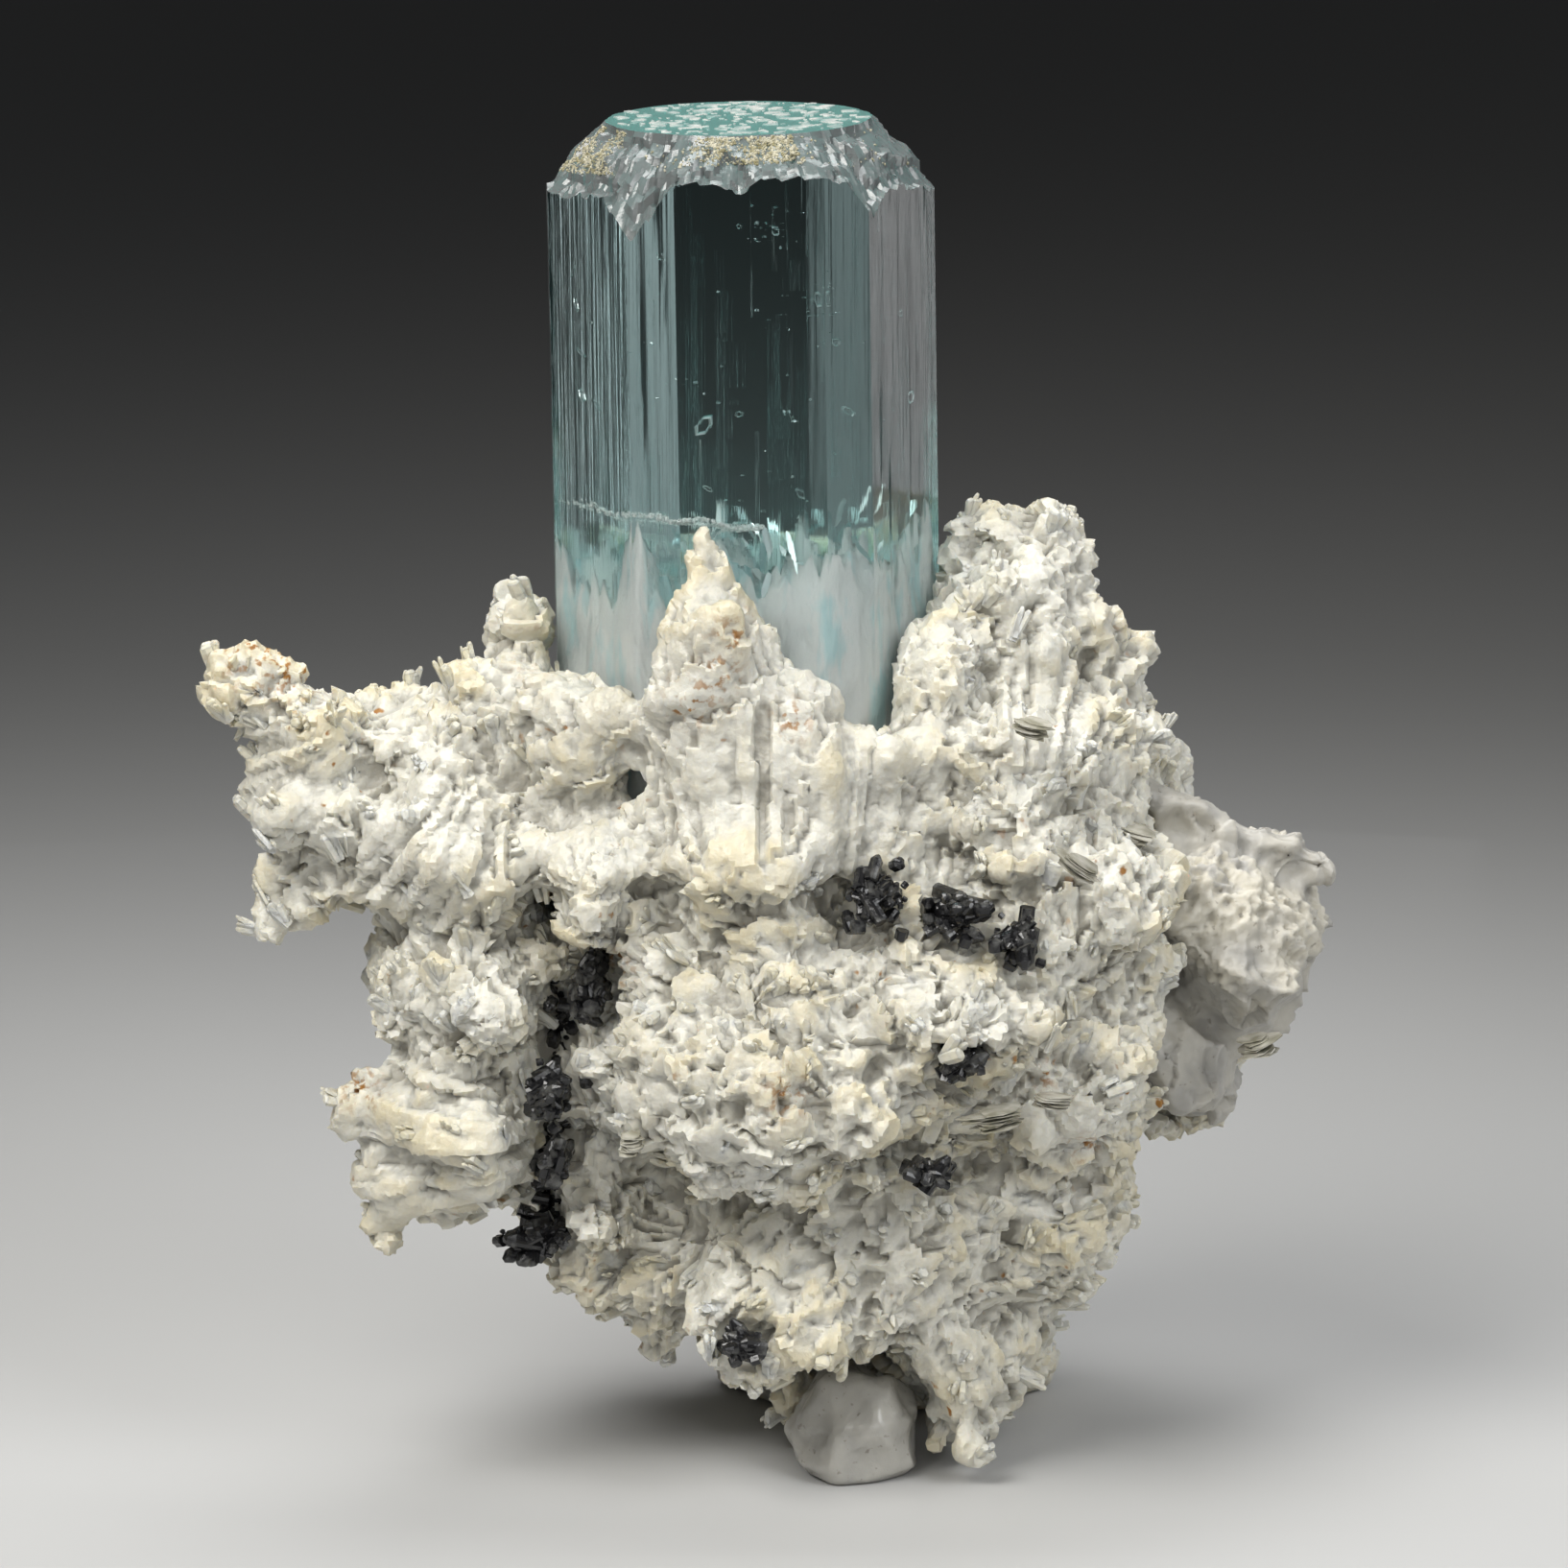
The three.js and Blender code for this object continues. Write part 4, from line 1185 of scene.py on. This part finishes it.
albite = albite_material("albite", 0.5)
for region, thicket in thickets.items():
    skin = skin_mesh(region)
    shingle(skin)
    keep = min(1.0, PIECE_TRIANGLES / (2 * len(skin.polygons)))
    skin = applied(object_of("skin", skin), "DECIMATE", ratio=keep)
    mark_relief(skin)
    blades = bpy.data.meshes.new("blades")
    blades.from_pydata(np.concatenate(thicket.points).tolist(), [], thicket.faces)
    # The laths get no painted shade, and their tips count as outer edges.
    marks = (("hollow_shade", np.full(thicket.count, -0.2)), ("outer", 0.1 + 0.7 * np.concatenate(thicket.tips)),
             ("iron", iron_stain(np.concatenate(thicket.points))))
    for name, values in marks:
        blades.attributes.new(name, "FLOAT", "POINT").data.foreach_set("value", values)
    both = bmesh.new()
    both.from_mesh(skin)
    both.from_mesh(blades)
    piece = finished_object("albite_" + region, both, albite)
    piece.data.polygons.foreach_set("use_smooth", [True] * len(piece.data.polygons))
    piece.data.set_sharp_from_angle(angle=math.radians(38))
    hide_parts("albite_matrix")
    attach(piece, "root")

# ---- Quartz flank and quartz foot ----
# Two lumps of grey cloudy quartz that the albite grew against. The flank has a granular white crust, a smooth
# ridge along its top, and bare grey quartz with flat breaks below. The foot is a rounded grey knob.


def quartz_mesh(node_name, voxel, relief, breaks, crust_from, extra_lumps=()):
    """The CAD lump as one closed surface. Its relief is (size, height) in mm, coarse to fine, and so are the
    breaks, which are flat facets on bare quartz. The crust is marked from a height in mm upwards."""
    form = rounded_off(cad_form_with_lumps(node_name, extra_lumps), voxel, 5)
    spots = []
    crusted = form.verts.layers.float.new("crusted")
    for vert in form.verts:
        cover = (vert.co.z / MM - crust_from) / 3 + 2.2 * noise.noise(vert.co / (5 * MM))
        for x, y, z, radius in extra_lumps:
            cover = min(cover, ((vert.co - Vector((x, y, z)) * MM).length / MM - radius - 0.4) / 1.5)
        vert[crusted] = max(0, min(1, cover))
        rise = sum(height * (0.5 - abs(noise.noise(vert.co / (size * MM) + Vector((k * 3.1, 0, 0)))) * 1.6)
                   * (1 if k == 0 else 0.25 + vert[crusted]) for k, (size, height) in enumerate(relief))
        middle = noise.voronoi(vert.co / (breaks[0] * MM))[1][0]
        lean = noise.noise_vector(middle * 5.1).dot(vert.co / (breaks[0] * MM) - middle)
        rise += breaks[1] * lean * (1 - vert[crusted])
        spot = vert.co + vert.normal * (rise - 0.25 * sum(height for _, height in relief)) * MM
        spot.z = max(spot.z, 0.02 * MM)
        spots.append(spot)
    for vert, spot in zip(form.verts, spots):
        if vert.co.z > 0.7 * MM:
            vert.co = spot
    for face in form.faces:
        face.smooth = True
    return form


def quartz_material(name, clear_tone, crust_tone, roughness):
    """Cloudy quartz under a patchy granular crust."""
    material, shader, tree = plain_material(name, clear_tone, roughness)
    cloud = mix_colors(tree, ramp_of(tree, detail_noise(tree, 320), 0.35, 0.65), clear_tone, crust_tone)
    cloud = mix_colors(tree, 0.5, clear_tone, cloud)
    grains = mix_colors(tree, ramp_of(tree, detail_noise(tree, 900, 5), 0.42, 0.60), crust_tone, clear_tone)
    bare = ramp_of(tree, detail_noise(tree, 160, 3, offset=(2, 2, 5)), 0.45, 0.65)
    grains = mix_colors(tree, bare, crust_tone, grains)
    color = mix_colors(tree, attribute(tree, "crusted"), cloud, grains)
    specks = ramp_of(tree, detail_noise(tree, 1300, 2, offset=(4, 1, 1)), 0.66, 0.74)
    color = mix_colors(tree, times(tree, specks, 0.6), color, (0.16, 0.14, 0.11))
    tree.links.new(color, shader.inputs["Base Color"])
    shader.inputs["Subsurface Weight"].default_value = 0.4
    shader.inputs["Subsurface Radius"].default_value = (1.0, 0.95, 0.85)
    shader.inputs["Subsurface Scale"].default_value = 1.6 * MM
    add_bump(tree, shader, detail_noise(tree, 1500, 5), 0.10 * MM, 0.7)
    return material


# The ridge is a row of lumps: x, y, z and radius, mm.
FLANK_RIDGE = tuple((23 + 2.6 * k, 8.5, 57.2 - 1.0 * k, 2.6 - 0.1 * k) for k in range(7))
FLANK_RELIEF = ((6.0, 1.2), (2.2, 0.8), (1.0, 0.8))
flank_form = quartz_mesh("quartz_flank", 0.34 * MM, FLANK_RELIEF, (4.5, 1.9), 44, FLANK_RIDGE)
flank_material = quartz_material("quartz_crusted", (0.36, 0.35, 0.325), (0.54, 0.51, 0.43), 0.42)
flank = finished_object("quartz_flank_surface", flank_form, flank_material)
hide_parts("quartz_flank")
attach(flank, "root")
foot_form = quartz_mesh("quartz_foot", 0.40 * MM, ((5.0, 0.8), (1.6, 0.5)), (6.0, 0.5), 12)
foot_material = quartz_material("quartz_clear_grey", (0.38, 0.37, 0.34), (0.52, 0.50, 0.45), 0.25)
foot = finished_object("quartz_foot_surface", foot_form, foot_material)
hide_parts("quartz_foot")
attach(foot, "root")

# ---- Black tourmaline ----
# Clusters of short black prisms, grooved along their length and ended by a low pyramid. They sit in the cleft
# on the left and in the pocket under the crystal, over smaller black grains.
PRISM_SIDES = 12
LOOSE_GRAINS = 16  # in each cluster
SEAM_GRAINS = 45  # along each stretch of the cleft

prism_form = bmesh.new()
bmesh.ops.create_circle(prism_form, cap_ends=True, radius=0.5, segments=PRISM_SIDES)
for k, vert in enumerate(prism_form.verts):
    vert.co *= 1.0 + 0.10 * math.cos(math.pi / 2 * k) + (0.05 if k % 2 else -0.05)
top = prism_form.faces[:]
for height, shrink in ((0.8, 1.0), (1.0, 0.35)):
    made = bmesh.ops.extrude_face_region(prism_form, geom=top)["geom"]
    top = [g for g in made if isinstance(g, bmesh.types.BMFace)]
    for vert in top[0].verts:
        vert.co = (vert.co.x * shrink, vert.co.y * shrink, height)
bmesh.ops.recalc_face_normals(prism_form, faces=prism_form.faces)
prism_form = form_of(prism_form)

schorl, schorl_shader, schorl_tree = plain_material("schorl", (0.012, 0.012, 0.013), 0.22)
schorl_tone = ramp_of(schorl_tree, detail_noise(schorl_tree, 700, 4), 0.52, 0.72)
schorl_tree.links.new(mix_colors(schorl_tree, schorl_tone, (0.010, 0.010, 0.011), (0.10, 0.10, 0.095)),
                      schorl_shader.inputs["Base Color"])
add_bump(schorl_tree, schorl_shader, detail_noise(schorl_tree, 2600, 3), 0.06 * MM, 0.6)

SEAM_PARTS = {"tourmaline_seam_top": 0, "tourmaline_seam_middle": 1, "tourmaline_seam_low": 2}
tourmaline_random = random.Random(29)
for node_name in [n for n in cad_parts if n.startswith("tourmaline")]:
    corner_low, corner_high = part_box(node_name)
    centre, half = (corner_low + corner_high) / 2, (corner_high - corner_low) / 2
    room = max(half)
    if node_name in SEAM_PARTS:
        half.x *= 0.5
    lie = Vector([tourmaline_random.gauss(0, 1) for _ in range(3)]).normalized()
    prisms = []
    for _ in range(round(14 + 12 * room / MM)):
        way = Vector([tourmaline_random.gauss(0, 1) for _ in range(3)]).normalized()
        spot = centre + Vector([w * h * tourmaline_random.uniform(0.1, 0.85) for w, h in zip(way, half)])
        spot.y += 0.50 * room
        stray = Vector([tourmaline_random.gauss(0, 1) for _ in range(3)])
        aim = (lie + 0.45 * way + 0.35 * stray).normalized()
        wide = tourmaline_random.uniform(0.6, 1.4) * MM
        long = wide * tourmaline_random.uniform(1.5, 3.0)
        turn = aim.to_track_quat("Z", "Y").to_matrix()
        turn @= Matrix.Rotation(tourmaline_random.uniform(0, 6.28), 3, "Z")
        prisms.append(place_on(spot - aim * long * 0.5, turn, (wide, wide, long)))
    for _ in range(LOOSE_GRAINS):
        offset = Vector([max(-1, min(1, tourmaline_random.gauss(0, 0.6))) * h for h in half])
        offset.y += 0.3 * room
        grain = tourmaline_random.uniform(0.4, 1.2) * MM
        prisms.append(place_on(centre + offset, random_turn(tourmaline_random), (grain, grain, grain)))
    if node_name in SEAM_PARTS:
        start, end = SEAM[SEAM_PARTS[node_name]], SEAM[SEAM_PARTS[node_name] + 1]
        for _ in range(SEAM_GRAINS):
            x, z = (a + (b - a) * tourmaline_random.random() for a, b in zip(start, end))
            x += tourmaline_random.gauss(0, 0.4)
            z += tourmaline_random.gauss(0, 0.4)
            hit = core_surface.ray_cast(Vector((x, -40, z)) * MM, Vector((0, 1, 0)))[0]
            if hit:
                grain = tourmaline_random.uniform(0.4, 1.3) * MM
                prisms.append(place_on(hit, random_turn(tourmaline_random), (grain, grain, grain * 1.3)))
    cluster = object_of(node_name + "_prisms", joined_copies(prism_form, prisms), schorl)
    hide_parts(node_name)
    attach(cluster, "root")

# ---- Mica ----
# Small books of silvery-olive mica: thin sheets with uneven edges that lie on each other, not quite in line.
# They grew in gaps of the albite and stand a little out of it.
SHEETS = 9
sheet_form = plate_with_uneven_edge(1.0, tourmaline_random, 0.72, 1.08)

mica_material, mica_shader, mica_tree = plain_material("mica", (0.42, 0.40, 0.33), 0.24)
mica_shader.inputs["Metallic"].default_value = 0.35
mica_tone = ramp_of(mica_tree, detail_noise(mica_tree, 600, 4), 0.35, 0.65)
mica_tree.links.new(mix_colors(mica_tree, mica_tone, (0.30, 0.285, 0.21), (0.62, 0.60, 0.53)),
                    mica_shader.inputs["Base Color"])
add_bump(mica_tree, mica_shader, detail_noise(mica_tree, 1500, 3), 0.03 * MM, 0.5)

mica_random = random.Random(31)
for node_name in [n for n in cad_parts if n.startswith("mica")]:
    points = mesh_points(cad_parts[node_name].data)
    centre = points.mean(axis=0)
    _, axes = np.linalg.eigh(np.cov((points - centre).T))
    spans = [np.ptp((points - centre) @ axes[:, k]) for k in range(3)]
    stack = Vector((mica_random.gauss(0, 0.4), mica_random.uniform(-0.25, 0.1), 1)).normalized()
    across = stack.cross(Vector(axes[:, 2])).normalized()
    turn = Matrix((across, stack.cross(across), stack)).transposed()
    sheets = []
    for k in range(SHEETS):
        level = (k / (SHEETS - 1) - 0.5) * spans[0] * 1.05
        slip = Vector((mica_random.gauss(0, 0.05), mica_random.gauss(0, 0.05), 0)) * spans[2]
        spot = Vector(centre) + stack * level + turn @ slip
        tilt = turn @ Matrix.Rotation(mica_random.gauss(0, 0.5), 3, "Z")
        tilt @= Matrix.Rotation(mica_random.gauss(0, 0.05), 3, "X")
        wide = 0.40 * spans[2] * mica_random.uniform(0.75, 1.1)
        size = (wide, 0.34 * spans[1] * mica_random.uniform(0.75, 1.1), spans[0] / SHEETS * 0.62)
        sheets.append(place_on(spot, tilt, size))
    book = object_of(node_name + "_sheets", joined_copies(sheet_form, sheets), mica_material)
    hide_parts(node_name)
    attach(book, "root")
